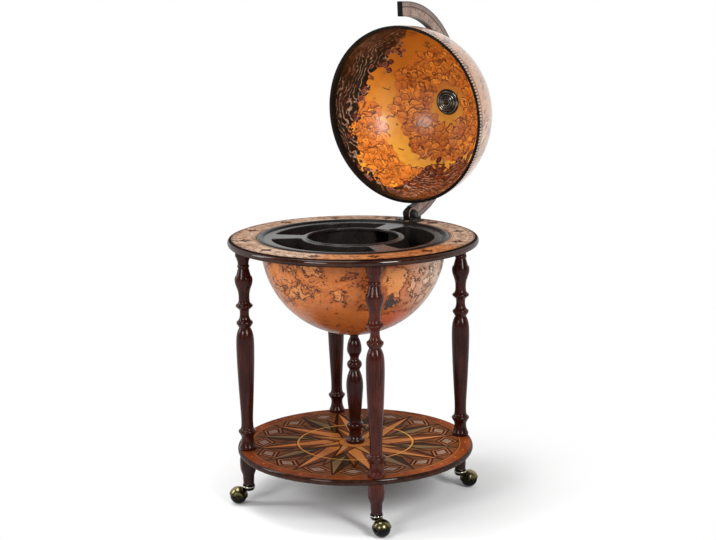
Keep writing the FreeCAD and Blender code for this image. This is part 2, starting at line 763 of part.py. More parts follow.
# The lid, swung open
save("meridian_arc", make_meridian_arc())
save("pole_bolt", swing_open(make_pole_bolt()))
save("pole_spacer", swing_open(make_pole_spacer()))
save("pole_nut", swing_open(make_pole_nut()))
save("dome_shell", swing_open(make_dome_shell()))
save("dome_rim_band", swing_open(make_dome_rim_band()))
save("pole_cap", swing_open(make_pole_cap()))
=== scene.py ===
# %% [markdown]
# # A floor globe bar, step by step
# The bar is a printed globe on a round table: its lower half is a bowl, and its upper half opens
# backwards on a half-round meridian arc. The solid pieces come from a packed model, and this lesson
# gives them their finishes, adds the small pieces that a solid model leaves out, and sets up the light
# and the camera. Shapes are in metres. Finishes are drawn in millimetres.

# %% Load the solid model
import math
import bpy
from mathutils import Matrix, Vector


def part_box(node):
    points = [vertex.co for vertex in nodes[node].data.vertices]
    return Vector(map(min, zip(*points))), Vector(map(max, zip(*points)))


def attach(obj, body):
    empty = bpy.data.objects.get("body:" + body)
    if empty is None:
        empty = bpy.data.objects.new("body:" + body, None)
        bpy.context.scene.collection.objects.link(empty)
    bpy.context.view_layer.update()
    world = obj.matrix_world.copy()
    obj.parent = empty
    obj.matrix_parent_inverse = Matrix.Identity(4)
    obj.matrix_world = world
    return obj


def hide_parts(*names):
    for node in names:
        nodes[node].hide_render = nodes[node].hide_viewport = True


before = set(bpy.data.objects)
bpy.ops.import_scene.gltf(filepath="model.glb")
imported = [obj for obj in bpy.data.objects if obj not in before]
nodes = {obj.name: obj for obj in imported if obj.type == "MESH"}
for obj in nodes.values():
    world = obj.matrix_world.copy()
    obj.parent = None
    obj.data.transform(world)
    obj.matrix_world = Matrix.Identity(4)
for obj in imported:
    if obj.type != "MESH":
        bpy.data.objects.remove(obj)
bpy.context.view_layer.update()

# %% [markdown]
# ## The camera
# The photograph was taken from the right of the front, a little above the table. Its camera was found
# by fitting the ring, the shelf and the legs, which gives a place, a direction and a focal length in
# pixels. A camera object can be aimed with a Track To constraint, but writing its three axes straight
# into its matrix also keeps the slight roll of the picture.

# %% Place the camera
image_width = 716
focal_pixels = 1596.0
camera_distance = 3.660
camera_height = 1.3093
camera_azimuth = math.radians(34.806)
camera_pitch = math.radians(11.65)
camera_roll = math.radians(-0.631)
camera_yaw = math.radians(0.169)


def turn_pair(first, second, angle):
    return (first * math.cos(angle) + second * math.sin(angle),
            second * math.cos(angle) - first * math.sin(angle))


sideways, frontways = math.sin(camera_azimuth), math.cos(camera_azimuth)
forward = Vector((-sideways, frontways, 0))
right = Vector((frontways, sideways, 0))
up = Vector((0, 0, 1))
forward, right = turn_pair(forward, right, camera_yaw)
up, forward = turn_pair(up, forward, camera_pitch)
right, up = turn_pair(right, up, camera_roll)

camera_data = bpy.data.cameras.new("photo_camera")
camera_data.sensor_fit = "HORIZONTAL"
camera_data.lens = focal_pixels / image_width * camera_data.sensor_width
camera = bpy.data.objects.new("photo_camera", camera_data)
bpy.context.scene.collection.objects.link(camera)
camera_place = Vector((sideways * camera_distance, -frontways * camera_distance, camera_height))
camera_turn = Matrix((right, up, -forward)).transposed().to_4x4()
camera.matrix_world = Matrix.Translation(camera_place) @ camera_turn
bpy.context.scene.camera = camera
print("camera at", tuple(round(v, 3) for v in camera_place), "lens", round(camera_data.lens, 1), "mm")

# %% [markdown]
# ## Writing a finish as a formula
# A procedural finish is a chain of nodes, and long chains are hard to read when each node is made and
# linked by hand. This small class holds one socket. Adding or multiplying two of them adds the Math
# node for it, so a pattern reads like the formula that it is. Every other kind of node comes from the
# one method called node.

# %% A socket to calculate with


class Shade:
    def __init__(self, tree, socket):
        self.tree = tree
        self.socket = socket

    def node(self, kind, settings=None, inputs=None, out=0):
        made = self.tree.nodes.new(kind)
        for name, setting in (settings or {}).items():
            setattr(made, name, setting)
        for key, value in (inputs or {}).items():
            if isinstance(value, Shade):
                self.tree.links.new(value.socket, made.inputs[key])
            else:
                made.inputs[key].default_value = value
        return Shade(self.tree, made.outputs[out])

    def math(self, operation, *others):
        return self.node("ShaderNodeMath", {"operation": operation}, dict(enumerate((self, *others))))

    def vector(self, operation, *others, out=0):
        inputs = dict(enumerate((self, *others)))
        return self.node("ShaderNodeVectorMath", {"operation": operation}, inputs, out)

    def scaled(self, factor):
        return self.node("ShaderNodeVectorMath", {"operation": "SCALE"}, {0: self, 3: factor})

    def xyz(self):
        made = self.tree.nodes.new("ShaderNodeSeparateXYZ")
        self.tree.links.new(self.socket, made.inputs[0])
        return [Shade(self.tree, output) for output in made.outputs]

    def __add__(self, other):
        return self.math("ADD", other)

    def __sub__(self, other):
        return self.math("SUBTRACT", other)

    def __rsub__(self, other):
        return self.node("ShaderNodeMath", {"operation": "SUBTRACT"}, {0: other, 1: self})

    def __mul__(self, other):
        return self.math("MULTIPLY", other)

    def __truediv__(self, other):
        return self.math("DIVIDE", other)

    def __abs__(self):
        return self.math("ABSOLUTE")

    __radd__ = __add__
    __rmul__ = __mul__


print("a Shade has", len([name for name in vars(Shade) if callable(getattr(Shade, name))]), "methods")

# %% [markdown]
# ## A few patterns
# Most prints come from a handful of forms: a soft step, a line of a given width, and a saw-tooth that
# repeats. Blender has a node for each, and short names keep the formulas readable. Where marks overlap,
# the strongest one counts. Colours are mixed, or darkened by multiplying, with a mask as the factor.

# %% Steps, lines and mixed colours


def rgb(red, green, blue):
    return (red, green, blue, 1.0)


def soft_step(value, low, high, first=0.0, last=1.0):
    inputs = {0: value, 1: low, 2: high, 3: first, 4: last}
    return value.node("ShaderNodeMapRange", {"interpolation_type": "SMOOTHSTEP"}, inputs)


def line(value, centre, width, soft=0.3):
    return soft_step(abs(value - centre), width / 2 + soft, width / 2)


def saw(value):
    return value.math("FRACT") - 0.5


def strongest(first, *others):
    for other in others:
        first = first.math("MAXIMUM", other)
    return first


def mix(low, high, factor, blend="MIX"):
    settings = {"data_type": "RGBA", "blend_type": blend}
    return factor.node("ShaderNodeMix", settings, {0: factor, 6: low, 7: high}, out=2)


def multiply(colour, shade_colour, factor):
    return mix(colour, shade_colour, factor, "MULTIPLY")


print("patterns:", ", ".join(made.__name__ for made in (soft_step, line, saw, strongest, mix, multiply)))

# %% [markdown]
# ## Noise, and where a point is
# Noise makes stains, fibres, coasts and clouds. It could be a picture of dirt, but a noise in three
# dimensions needs no unwrapping and has no seams. Round pieces also need a point's radius, its angle
# round the upright axis, and its share of a step where a print repeats round the piece.

# %% Noise, radius and angle


def noise(where, scale, detail=3.0, roughness=0.5, distortion=0.0, out=0):
    inputs = {"Vector": where, "Scale": scale, "Detail": detail,
              "Roughness": roughness, "Distortion": distortion}
    return where.node("ShaderNodeTexNoise", None, inputs, out)


def radius_of(first, second):
    return (first * first + second * second).math("SQRT")


def angle_of(rise, run):
    return rise.math("ARCTAN2", run)


def around_of(spot):
    x, y = spot.xyz()[:2]
    return angle_of(y, x)


def step_share(angle, steps):
    return saw(angle * (steps / math.tau))


print("places:", ", ".join(made.__name__ for made in (radius_of, angle_of, around_of, step_share)))

# %% [markdown]
# ## From a formula to a material
# A finish starts from Object coordinates, which stay with the piece when it moves. It ends in one
# Principled shader. Colour, roughness, coat and bump may change from point to point. Everything else
# is one number, set on the shader's own socket, so that it also survives an export.

# %% Start a finish, end it, and paint pieces with it
mm_per_metre = 1000.0


def start_finish(name):
    material = bpy.data.materials.new(name)
    material.use_nodes = True
    material.node_tree.nodes.clear()
    metres = Shade(material.node_tree, None).node("ShaderNodeTexCoord", out=3)
    return material, metres.scaled(mm_per_metre)


def finish(material, colour, roughness, bump, bump_depth=0.00002, coat=0.0, **constants):
    tree = material.node_tree
    shader = tree.nodes.new("ShaderNodeBsdfPrincipled")
    normal = bump.node("ShaderNodeBump", None, {"Height": bump, "Distance": bump_depth, "Strength": 1.0})
    varied = {"Base Color": colour, "Roughness": roughness, "Coat Weight": coat, "Normal": normal}
    for name, value in varied.items():
        if isinstance(value, Shade):
            tree.links.new(value.socket, shader.inputs[name])
        else:
            shader.inputs[name].default_value = value
    for name, value in constants.items():
        shader.inputs[name.replace("_", " ")].default_value = value
    output = tree.nodes.new("ShaderNodeOutputMaterial")
    tree.links.new(shader.outputs[0], output.inputs[0])
    return material


def paint(material, *names):
    for name in names:
        nodes[name].data.materials.clear()
        nodes[name].data.materials.append(material)
    print(material.name, "has", len(material.node_tree.nodes), "nodes and is on", ", ".join(names))


print("pieces to paint:", len(nodes))

# %% [markdown]
# ## Lacquered wood
# Legs, feet and the pillar are turned from wood, stained a dark red-brown and sprayed with gloss
# lacquer. The grain runs up the leg, so the noise is stretched along Z. The front leg is kept lighter
# than the others, a painted light, and the feet are darker towards the floor, a painted shade under
# the shelf. The lacquer is the shader's coat, a second glossy layer, because one layer can't be both a
# coloured wood and a clear shine.

# %% Red-brown lacquer on the turned pieces
corners = ["right_back", "left_back", "left_front", "right_front"]
front_leg_light_mm = (320.0, 250.0)
foot_shade_mm = (115.0, 70.0)
dark_stain, red_stain = rgb(0.020, 0.0040, 0.0026), rgb(0.078, 0.0145, 0.0082)


def at_corners(*kinds):
    return [kind + "_" + corner for kind in kinds for corner in corners]


def turned_wood():
    material, where = start_finish("turned_lacquered_wood")
    along_grain = where.vector("MULTIPLY", (1.0, 1.0, 0.06))
    grain = noise(along_grain, 0.35, 5.0, 0.6, 0.6)
    pores = noise(along_grain, 1.6, 2.0, 0.7)
    cloud = noise(where, 0.012, 2.0)
    colour = mix(dark_stain, red_stain, soft_step(grain, 0.28, 0.72))
    colour = multiply(colour, rgb(0.45, 0.40, 0.40), soft_step(pores, 0.62, 0.75) * 0.6)
    colour = multiply(colour, rgb(0.62, 0.55, 0.54), soft_step(cloud, 0.42, 0.62))
    x, y, height = where.xyz()
    # Painted light: the front leg stays lighter and the other legs are darkened.
    colour = multiply(colour, rgb(0.56, 0.54, 0.52), soft_step(x - y, *front_leg_light_mm))
    # Painted shade: the feet are darkened under the shelf.
    colour = multiply(colour, rgb(0.55, 0.50, 0.48), soft_step(height, *foot_shade_mm))
    roughness = soft_step(noise(where, 0.08), 0.3, 0.7, 0.19, 0.25)
    return finish(material, colour, roughness, pores, coat=0.06,
                  Specular_IOR_Level=0.15, Coat_Roughness=0.08)


paint(turned_wood(), "centre_pillar", *at_corners("leg", "foot"))

# %% [markdown]
# ## Ornaments of the printed tops
# A star is drawn by folding the plane round its middle until only half of one ray is left, and then
# measuring the distance to that ray's straight edge. A scroll is a spiral: the distance from its
# middle plus the angle round it, run through a saw-tooth. Formulas stay sharp at any size, which a
# small picture would not. The moulded edges of ring and shelf share one uneven brown.

# %% Stars, scrolls and the brown of the edges
scroll_turns = 2.2
edge_dark, edge_light = rgb(0.0155, 0.0052, 0.0028), rgb(0.035, 0.0116, 0.0058)


def ray_share(across, along, points):
    return saw(angle_of(along, across) * (points / math.tau) + 0.5)


def star_mask(across, along, reach, waist, points):
    turn_in = abs(ray_share(across, along, points)) * (math.tau / points)
    far = radius_of(across, along)
    level, rise = far * turn_in.math("COSINE"), far * turn_in.math("SINE")
    valley_x, valley_y = waist * math.cos(math.pi / points), waist * math.sin(math.pi / points)
    slope = math.hypot(valley_y, reach - valley_x)
    return ((level - reach) * valley_y + rise * (reach - valley_x)) / slope


def scroll(along, across, centre, lift, reach):
    beside, rise = abs(along) - centre, across - lift
    far = radius_of(beside, rise)
    spin = angle_of(rise, beside) / math.tau
    curl = soft_step(abs(saw(far * (scroll_turns / reach) + spin)), 0.20, 0.12)
    return curl * soft_step(far, reach, reach - 0.6) * soft_step(far, 0.8, 1.4)


def edge_brown(where):
    return mix(edge_dark, edge_light, soft_step(noise(where, 0.05, 4.0, 0.6, 0.5), 0.35, 0.7))


print("ornaments: stars, scrolls with", scroll_turns, "turns")

# %% [markdown]
# ## The printed paper of the table ring
# The flat top of the ring carries a printed paper, tan like parchment. Its front left is paler, a
# painted sheen, and its front right is amber, so the cosine of the angle round the ring picks these places.
# Stains, mottles and fibres are noises of three sizes.

# %% Paper of the ring
sheen_turn, amber_turn = 1.62, 0.60


def ring_paper(where, around, fibre, mottle):
    stain = soft_step(noise(where, 0.018, 5.0, 0.6), 0.32, 0.68)
    tan = mix(rgb(0.350, 0.205, 0.130), rgb(0.490, 0.345, 0.255), stain)
    amber = mix(rgb(0.340, 0.117, 0.038), rgb(0.500, 0.212, 0.084), stain)
    # Painted sheen: the paper is made paler at the front left.
    painted_light = soft_step((around + sheen_turn).math("COSINE"), 0.84, 0.97) * 0.5
    tan = mix(tan, rgb(0.600, 0.440, 0.325), painted_light)
    tan = mix(tan, amber, soft_step((around + amber_turn).math("COSINE"), 0.72, 0.84))
    tan = multiply(tan, rgb(0.56, 0.40, 0.30), soft_step(mottle, 0.50, 0.66) * 0.7)
    return multiply(tan, rgb(0.80, 0.70, 0.62), soft_step(fibre, 0.48, 0.70) * 0.5)


print("paper fades at", round(math.degrees(-sheen_turn)), "and is amber at", round(math.degrees(-amber_turn)),
      "degrees")

# %% [markdown]
# ## The print on the ring
# The print is a row of small stars, with a pair of scrolls and some foliage between them, specks, and
# a border scale. A point's place is measured along and across the circle of stars. Ink that is a
# little worn looks printed. Full ink would look painted.

# %% Ink of the ring
paper_inner_mm = 226.2
paper_outer_mm = 283.2
star_circle_mm = 254.0
stars_on_ring = 12
ticks_on_ring = 72
ring_stars = ((21.0, 8.5, 4), (15.0, 9.0, 8))
ring_scrolls = ((34.0, 3.0, 11.5), (56.0, -3.0, 11.0))
ring_borders = ((paper_inner_mm + 2.2, 2.4), (paper_inner_mm + 7.0, 0.9),
                (paper_outer_mm - 1.8, 2.6), (paper_outer_mm - 11.0, 1.2))


def ring_ink(where, radius, around, mottle):
    along = step_share(around, stars_on_ring) * (math.tau / stars_on_ring) * radius
    across = radius - star_circle_mm
    stars = strongest(*[soft_step(star_mask(across, along, *size), 0.4, -0.4) for size in ring_stars])
    stars = stars * soft_step(radius_of(across, along), 1.4, 2.0)
    between = soft_step(abs(along), 20.0, 25.0) * soft_step(abs(across), 21.0, 17.0)
    specks = soft_step(noise(where, 0.15, 3.0, 0.6), 0.55, 0.62)
    specks = specks * soft_step(noise(where, 0.03, 2.0), 0.42, 0.56)
    scrolls = strongest(*[scroll(along, across, *place) for place in ring_scrolls])
    foliage = soft_step(noise(where, 0.10, 3.0, 0.60), 0.57, 0.61) * between
    foliage = strongest(foliage * 0.8, scrolls * soft_step(mottle, 0.30, 0.48))
    ticks = soft_step(abs(step_share(around, ticks_on_ring)), 0.27, 0.23)
    ticks = ticks * line(radius, paper_outer_mm - 6.6, 4.6)
    borders = strongest(*[line(radius, place, width) for place, width in ring_borders])
    ink = strongest(stars, foliage * 0.85, specks * 0.6, borders * 0.85, ticks * 0.7)
    worn = soft_step(noise(where, 0.09), 0.25, 0.6, 0.65, 1.0)
    return (ink * worn).math("MINIMUM", 0.96)


print("ring print:", stars_on_ring, "stars,", ticks_on_ring, "ticks on the scale")

# %% [markdown]
# ## The whole table ring
# Paper and moulded edge are one solid piece, so the finish asks where a point is: on the top face and
# away from the edge it is paper. The half-round moulding is glossy. The groove next to the paper is
# darkened, a painted shade, and has no shine, and the underside has less shine.

# %% The ring's top and its moulding
ring_top_mm = 636.0
groove_mm = (ring_top_mm - 3.2, ring_top_mm - 1.8)
underside_mm = (ring_top_mm - 10.0, ring_top_mm - 14.5)


def ring_print():
    material, where = start_finish("printed_table_ring")
    x, y, z = where.xyz()
    radius, around = radius_of(x, y), angle_of(y, x)
    on_paper = soft_step(z, ring_top_mm - 0.35, ring_top_mm - 0.15)
    on_paper = on_paper * soft_step(radius, paper_inner_mm - 0.4, paper_inner_mm)
    on_paper = on_paper * soft_step(radius, paper_outer_mm + 0.4, paper_outer_mm)
    fibre, mottle = noise(where, 0.35, 4.0, 0.65), noise(where, 0.045, 4.0, 0.60)
    paper = ring_paper(where, around, fibre, mottle)
    printed = mix(paper, rgb(0.042, 0.014, 0.006), ring_ink(where, radius, around, mottle))
    # Painted shade: the groove next to the paper is darkened.
    groove_shade = soft_step(z, *groove_mm)
    brown = multiply(edge_brown(where), rgb(0.35, 0.25, 0.20), groove_shade)
    gloss = (1 - on_paper) * (1 - groove_shade) * (1 - soft_step(z, *underside_mm) * 0.75)
    roughness = soft_step(fibre, 0.3, 0.7, 0.22, 0.30)
    return finish(material, mix(brown, printed, on_paper), roughness, fibre, 0.00003,
                  gloss * 0.56 + 0.05, Specular_IOR_Level=0.0, Coat_Roughness=0.09)


paint(ring_print(), "table_ring")

# %% [markdown]
# ## Places on a globe
# Both halves of the globe carry a map. A point is first brought to a globe of radius 1 about its own
# middle, so bowl and dome share one map maker. The net of meridians and parallels comes from the two
# angles of a point. Near the pole the meridians close up, so their distance is scaled by the radius.

# %% Points and net lines of a globe
globe_radius_mm = 215.7
net_steps = 24


def sphere_place(where, centre_mm):
    return where.vector("SUBTRACT", centre_mm).scaled(1.0 / globe_radius_mm)


def rise_of(spot):
    x, y, z = spot.xyz()
    return angle_of(z, radius_of(x, y))


def net_lines(sphere, width):
    x, y = sphere.xyz()[:2]
    flat = radius_of(x, y)
    meridian = abs(step_share(angle_of(y, x), net_steps)) * flat
    parallel = abs(step_share(rise_of(sphere), net_steps))
    return strongest(*[soft_step(away, width, width * 0.5) for away in (meridian, parallel)])


print("globe of", 2 * globe_radius_mm, "mm with a net of", net_steps, "lines")

# %% [markdown]
# ## The old map
# The map is in the old style: tan sea, paler land with a dark ragged coast, scattered islands, small
# hills and rows of tiny strokes. Copying a real map would need a picture, so the land is where a noise
# passes a level, and its coast is a line at that level.

# %% Sea, land, coast and marks


def cells(where, scale):
    return where.node("ShaderNodeTexVoronoi", None, {"Vector": where, "Scale": scale})


def map_marks(sphere, spot, coast, on_land):
    islands = noise(spot.vector("ADD", (3.1, 1.7, 0.4)), 11.0, 6.0, 0.66)
    islands = soft_step(islands, 0.59, 0.61) * soft_step(noise(spot, 2.6, 1.0), 0.44, 0.54)
    hills = soft_step(cells(spot, 22.0), 0.26, 0.18) * on_land
    hills = hills * soft_step(noise(spot, 4.2, 2.0), 0.48, 0.55)
    dots = soft_step(noise(spot, 21.0, 3.0, 0.7), 0.62, 0.66)
    dash = noise(spot.vector("MULTIPLY", (1.0, 1.0, 2.4)), 30.0, 2.0, 0.5)
    crowd = soft_step(noise(spot, 3.4, 2.0), 0.46, 0.58) * soft_step(sphere.xyz()[2], -0.62, -0.25)
    dashes = soft_step(dash, 0.565, 0.60) * crowd
    return strongest(coast, islands * 0.95, hills * 0.85, dots * 0.55, dashes * 0.9)


def old_map(sphere, sea, deep, land, ink, shift):
    spot = sphere.vector("ADD", shift)
    height = noise(spot, 1.75, 9.0, 0.62, 0.3) - 0.53
    on_land = soft_step(height, -0.001, 0.002)
    shore = soft_step(height, -0.060, 0.0) * (1 - on_land)
    sea_colour = mix(sea, deep, soft_step(noise(spot, 2.2, 5.0, 0.62), 0.33, 0.70))
    swell = soft_step(noise(spot, 11.0, 4.0, 0.65), 0.50, 0.68)
    sea_colour = multiply(sea_colour, rgb(0.80, 0.66, 0.52), swell * 0.6)
    land_colour = mix(land, sea, soft_step(noise(spot, 6.0, 4.0), 0.4, 0.7) * 0.55)
    red_land = soft_step(noise(spot.vector("ADD", (1.9, 8.3, 4.1)), 1.5), 0.52, 0.56)
    land_colour = multiply(land_colour, rgb(0.50, 0.26, 0.20), red_land * 0.85)
    marks = map_marks(sphere, spot, line(height, 0.0, 0.012, 0.006), on_land)
    colour = mix(mix(sea_colour, land_colour, on_land), ink, marks * 0.95)
    return multiply(colour, rgb(0.74, 0.56, 0.40), shore * 0.8), marks


print("map land, sea, coast and", net_steps, "net lines are ready")

# %% [markdown]
# ## Lands tinted by hand
# On the bowl, two lands were tinted by hand after printing, one red and one nearly black. Each has a
# middle, a stretch and a size. The distance from the middle, made ragged by noise, is its coast.

# %% Two tinted lands
bowl_ink = rgb(0.055, 0.018, 0.009)
hand_tints = (((0.66, -0.20, -0.72), (0.7, 0.7, 1.5), 0.17, rgb(0.46, 0.105, 0.040)),
              ((0.745, -0.43, -0.50), (1.9, 1.9, 0.7), 0.10, rgb(0.050, 0.034, 0.030)))


def tinted_land(colour, sphere, middle, stretch, size, tint):
    away = sphere.vector("SUBTRACT", middle).vector("MULTIPLY", stretch).vector("LENGTH", out=1)
    height = size - away + (noise(sphere, 6.5, 6.0, 0.66) - 0.5) * 0.50
    wash = multiply(tint, rgb(0.55, 0.50, 0.48), noise(sphere, 24.0))
    colour = mix(colour, wash, soft_step(height, 0.0, 0.004))
    return mix(colour, bowl_ink, line(height, 0.0, 0.012, 0.006))


print(len(hand_tints), "lands are tinted by hand")

# %% [markdown]
# ## The bowl
# The lower half of the globe is the orange side of the map. Its right side is made paler, a painted
# sheen, its left side brighter orange, a painted light, and it is darker towards its pole, a painted
# shade, so three masks change the colours of sea and land before the map is drawn. Inside, the bowl
# is plain dark brown.

# %% The map on the bowl
bowl_centre_mm = (0.0, 0.0, 620.0)
pole_shade_brown = rgb(0.60, 0.46, 0.36)


def bowl_print():
    material, where = start_finish("map_on_the_bowl")
    sphere = sphere_place(where, bowl_centre_mm)
    x, y, z = sphere.xyz()
    # Painted sheen: the right side of the bowl is paler.
    pale = soft_step(x * 0.82 + y * 0.57, 0.42, 0.92)
    # Painted light: the left side of the bowl is brighter orange.
    painted_light = soft_step(x * -0.80 - y * 0.40, 0.05, 0.75) * 0.6
    # Painted shade: the bowl is darker towards its lower pole.
    low = soft_step(z, -0.30, -0.95)
    sea = mix(rgb(0.45, 0.138, 0.034), rgb(0.72, 0.268, 0.082), painted_light)
    sea = multiply(mix(sea, rgb(0.55, 0.400, 0.315), pale), pole_shade_brown, low)
    deep = mix(rgb(0.345, 0.094, 0.021), rgb(0.58, 0.196, 0.056), painted_light)
    deep = multiply(mix(deep, rgb(0.48, 0.335, 0.250), pale), pole_shade_brown, low)
    land = mix(rgb(0.52, 0.200, 0.060), rgb(0.58, 0.430, 0.340), pale)
    land = multiply(land, pole_shade_brown, low)
    printed, marks = old_map(sphere, sea, deep, land, bowl_ink, (2.3, 0.6, 5.2))
    for hand_tint in hand_tints:
        printed = tinted_land(printed, sphere, *hand_tint)
    printed = mix(printed, bowl_ink, net_lines(sphere, 0.016) * 0.25)
    inside = mix(rgb(0.030, 0.016, 0.012), rgb(0.045, 0.024, 0.017), noise(where, 0.04))
    outside = soft_step(sphere.vector("LENGTH", out=1), 0.985, 0.99)
    roughness = soft_step(noise(where, 0.05, 4.0), 0.3, 0.7, 0.26, 0.36)
    return finish(material, mix(inside, printed, outside), roughness, marks, 0.00003, 0.10,
                  Specular_IOR_Level=0.14, Coat_Roughness=0.05)


paint(bowl_print(), "lower_bowl")

# %% [markdown]
# ## The lid, swung back
# The lid is stored open, so its pictures are drawn in its closed position: a Mapping node swings each
# point back about the hinge. Small things in the pictures are scattered by Voronoi cells. A cell gives
# the distance from its middle and that middle itself, from which a place inside the cell follows.

# %% Points of the closed lid, and scattered cells
hinge_mm = (0.0, 245.0346, 653.0)
lid_angle = math.radians(86.0)


def closed_place(where):
    moved = where.vector("SUBTRACT", hinge_mm)
    inputs = {"Vector": moved, "Rotation": (lid_angle, 0.0, 0.0)}
    return moved.node("ShaderNodeMapping", None, inputs).vector("ADD", hinge_mm)


def stirred(where, scale, reach):
    drift = noise(where, scale, out=1).vector("SUBTRACT", (0.5, 0.5, 0.5))
    return where.vector("ADD", drift.scaled(reach))


def scattered(spot, scale, shift):
    far = cells(spot, scale)
    middle = Shade(far.tree, far.socket.node.outputs["Position"])
    x, y, z = spot.vector("SUBTRACT", middle).scaled(scale).xyz()
    lean = x * 0.45 + y * 0.80 - z * 0.40
    level = x * 0.85 - y * 0.50
    return far, middle.vector("SUBTRACT", shift), lean, level


print("lid swings back by", round(math.degrees(lid_angle)), "degrees before it is drawn")

# %% [markdown]
# ## Clouds inside the dome
# Inside the lid is a warm evening sky. Its clouds are heaps of curled puffs, as an engraver draws
# them: a wreath round the pole and a bank low on one side. The middle of each cell decides whether a
# puff is there, so that no puff is cut off. Layers of different sizes later overlap into a heap.

# %% A layer of puffs
puff_ink = rgb(0.130, 0.026, 0.008)


def cloud_place(heart):
    wreath = 1 - abs(rise_of(heart) - 1.10) / 0.24
    bank = 1 - abs(rise_of(heart) - 0.44) / 0.26
    bank = bank.math("MINIMUM", (around_of(heart) - 2.3).math("COSINE") * 2.0 - 1.1)
    uneven = noise(heart, 2.4, 2.0) - 0.5
    return soft_step(strongest(wreath, bank) + uneven * 1.7, 0.12, 0.15)


def puff_layer(colour, sphere, scale, shift, light, dark):
    spot = stirred(stirred(sphere.vector("ADD", shift), 4.5, 0.21), 15.0, 0.050)
    far, heart, lean, level = scattered(spot, scale, shift)
    spin = angle_of(lean, level) / math.tau
    spiral = soft_step(abs(saw(far * 3.0 + spin)), 0.13, 0.05) * soft_step(far, 0.05, 0.12)
    edge = line(far, 0.455, 0.09, 0.04) * soft_step(lean, 0.16, -0.14)
    body = mix(light, dark, soft_step(lean, -0.35, 0.45))
    body = mix(body, puff_ink, strongest(spiral * 0.66, edge * 0.90))
    return mix(colour, body, cloud_place(heart) * soft_step(far, 0.51, 0.48))


print("a puff is outlined with", puff_ink[:3])

# %% [markdown]
# ## Birds
# Small birds fly between the clouds: two bent strokes in a few of the scattered cells. A noise at the
# middle of the cell chooses which cells have one, and cells in a cloud or near the pole have none.

# %% A layer of birds
bird_ink = rgb(0.13, 0.030, 0.016)


def bird_layer(colour, sphere, scale, shift):
    heart, lean, level = scattered(sphere.vector("ADD", shift), scale, shift)[1:]
    wings = line(lean + abs(abs(level) - 0.13) * 0.9, 0.06, 0.060, 0.030)
    wings = wings * soft_step(abs(level), 0.31, 0.27)
    chosen = soft_step(noise(heart, 9.0, 1.0), 0.47, 0.48) * (1 - cloud_place(heart))
    chosen = chosen * soft_step(heart.xyz()[2], 0.90, 0.86)
    return mix(colour, bird_ink, wings * chosen * 0.9)


print("a bird is drawn with", bird_ink[:3])

# %% [markdown]
# ## Skyline and trees
# Hills with woods stand all round the rim of the dome. Their skyline is a noise, raised where the wood
# and the red hill are. Round crowns of trees in dark plum stand along it, and here too the middle of
# each cell decides, so every crown is whole.

# %% Skyline and crowns of trees
crown_light, crown_dark = rgb(0.26, 0.050, 0.030), rgb(0.062, 0.012, 0.012)


def red_hill(spot):
    return soft_step((around_of(spot) - 1.25).math("COSINE"), 0.76, 0.90)


def skyline_of(spot):
    wood = (around_of(spot) + 2.45).math("COSINE").math("MAXIMUM", 0.0)
    return wood * wood * 0.48 + red_hill(spot) * 0.58 + noise(spot, 3.4, 4.0, 0.62) * 0.75 - 0.20


def crown_layer(colour, sphere, scale, shift, reach, outline):
    spot = stirred(sphere.vector("ADD", shift), 14.0, 0.05)
    far, heart = scattered(spot, scale, shift)[:2]
    below = skyline_of(heart) - rise_of(heart)
    here = soft_step(below, -0.09, -0.08) * soft_step(below, reach, reach - 0.01)
    here = here * soft_step(noise(heart, 5.0, 2.0), 0.50, 0.51) * soft_step(far, 0.50, 0.46)
    body = mix(crown_light, crown_dark, soft_step(far, 0.10, 0.40))
    return mix(colour, mix(body, outline, line(far, 0.44, 0.10, 0.03) * 0.8), here)


print("crowns of trees go from", crown_light[:3], "to", crown_dark[:3])

# %% [markdown]
# ## The ground
# Below the skyline the ground is dark wood, brown glades and the red hill, all leafy. Wavy pen strokes
# run along it: its height, bent by a slow noise, goes through a saw-tooth. Along the crest and in some
# other places the strokes are pale, as if the evening light caught them.

# %% Woods, glades and pen strokes


def ground(sphere, rise, below):
    leaf = noise(sphere, 26.0, 4.0, 0.72)
    wood = mix(rgb(0.0055, 0.0045, 0.0032), rgb(0.030, 0.019, 0.009), soft_step(leaf, 0.42, 0.66))
    glade = mix(rgb(0.022, 0.008, 0.005), rgb(0.085, 0.030, 0.018), soft_step(leaf, 0.44, 0.60))
    hill = mix(rgb(0.046, 0.0095, 0.0040), rgb(0.260, 0.052, 0.012), soft_step(leaf, 0.40, 0.62))
    colour = mix(wood, glade, soft_step(noise(sphere, 6.5, 3.0, 0.6), 0.46, 0.60))
    colour = mix(colour, hill, red_hill(sphere))
    flow = (rise + noise(sphere, 2.6) * 0.62 + noise(sphere, 9.0, 2.0) * 0.05) * 16.0
    strokes = soft_step(abs(saw(flow)), 0.17, 0.06) * soft_step(leaf, 0.40, 0.55)
    colour = mix(colour, rgb(0.200, 0.062, 0.022), strokes * 0.8)
    crest = soft_step(below, 0.34, 0.12) * (1 - red_hill(sphere))
    colour = multiply(colour, rgb(0.45, 0.42, 0.42), crest)
    pale = strongest(soft_step(noise(sphere, 4.0, 3.0, 0.6), 0.45, 0.51), crest * 0.9)
    colour = mix(colour, rgb(0.47, 0.315, 0.215), strokes * pale * 0.9)
    return multiply(colour, rgb(0.30, 0.26, 0.24), soft_step(rise, 0.24, 0.03))


print("ground is drawn with wood, glade, hill and strokes")

# %% [markdown]
# ## The whole picture inside
# The layers are laid over each other from the sky forwards, as a painter works: sky and haze, the
# shadow of the clouds, five layers of puffs in turn brown and orange, birds, ground, and two layers of
# trees. Each layer has its own shift, or all of them would fall on the same cells.

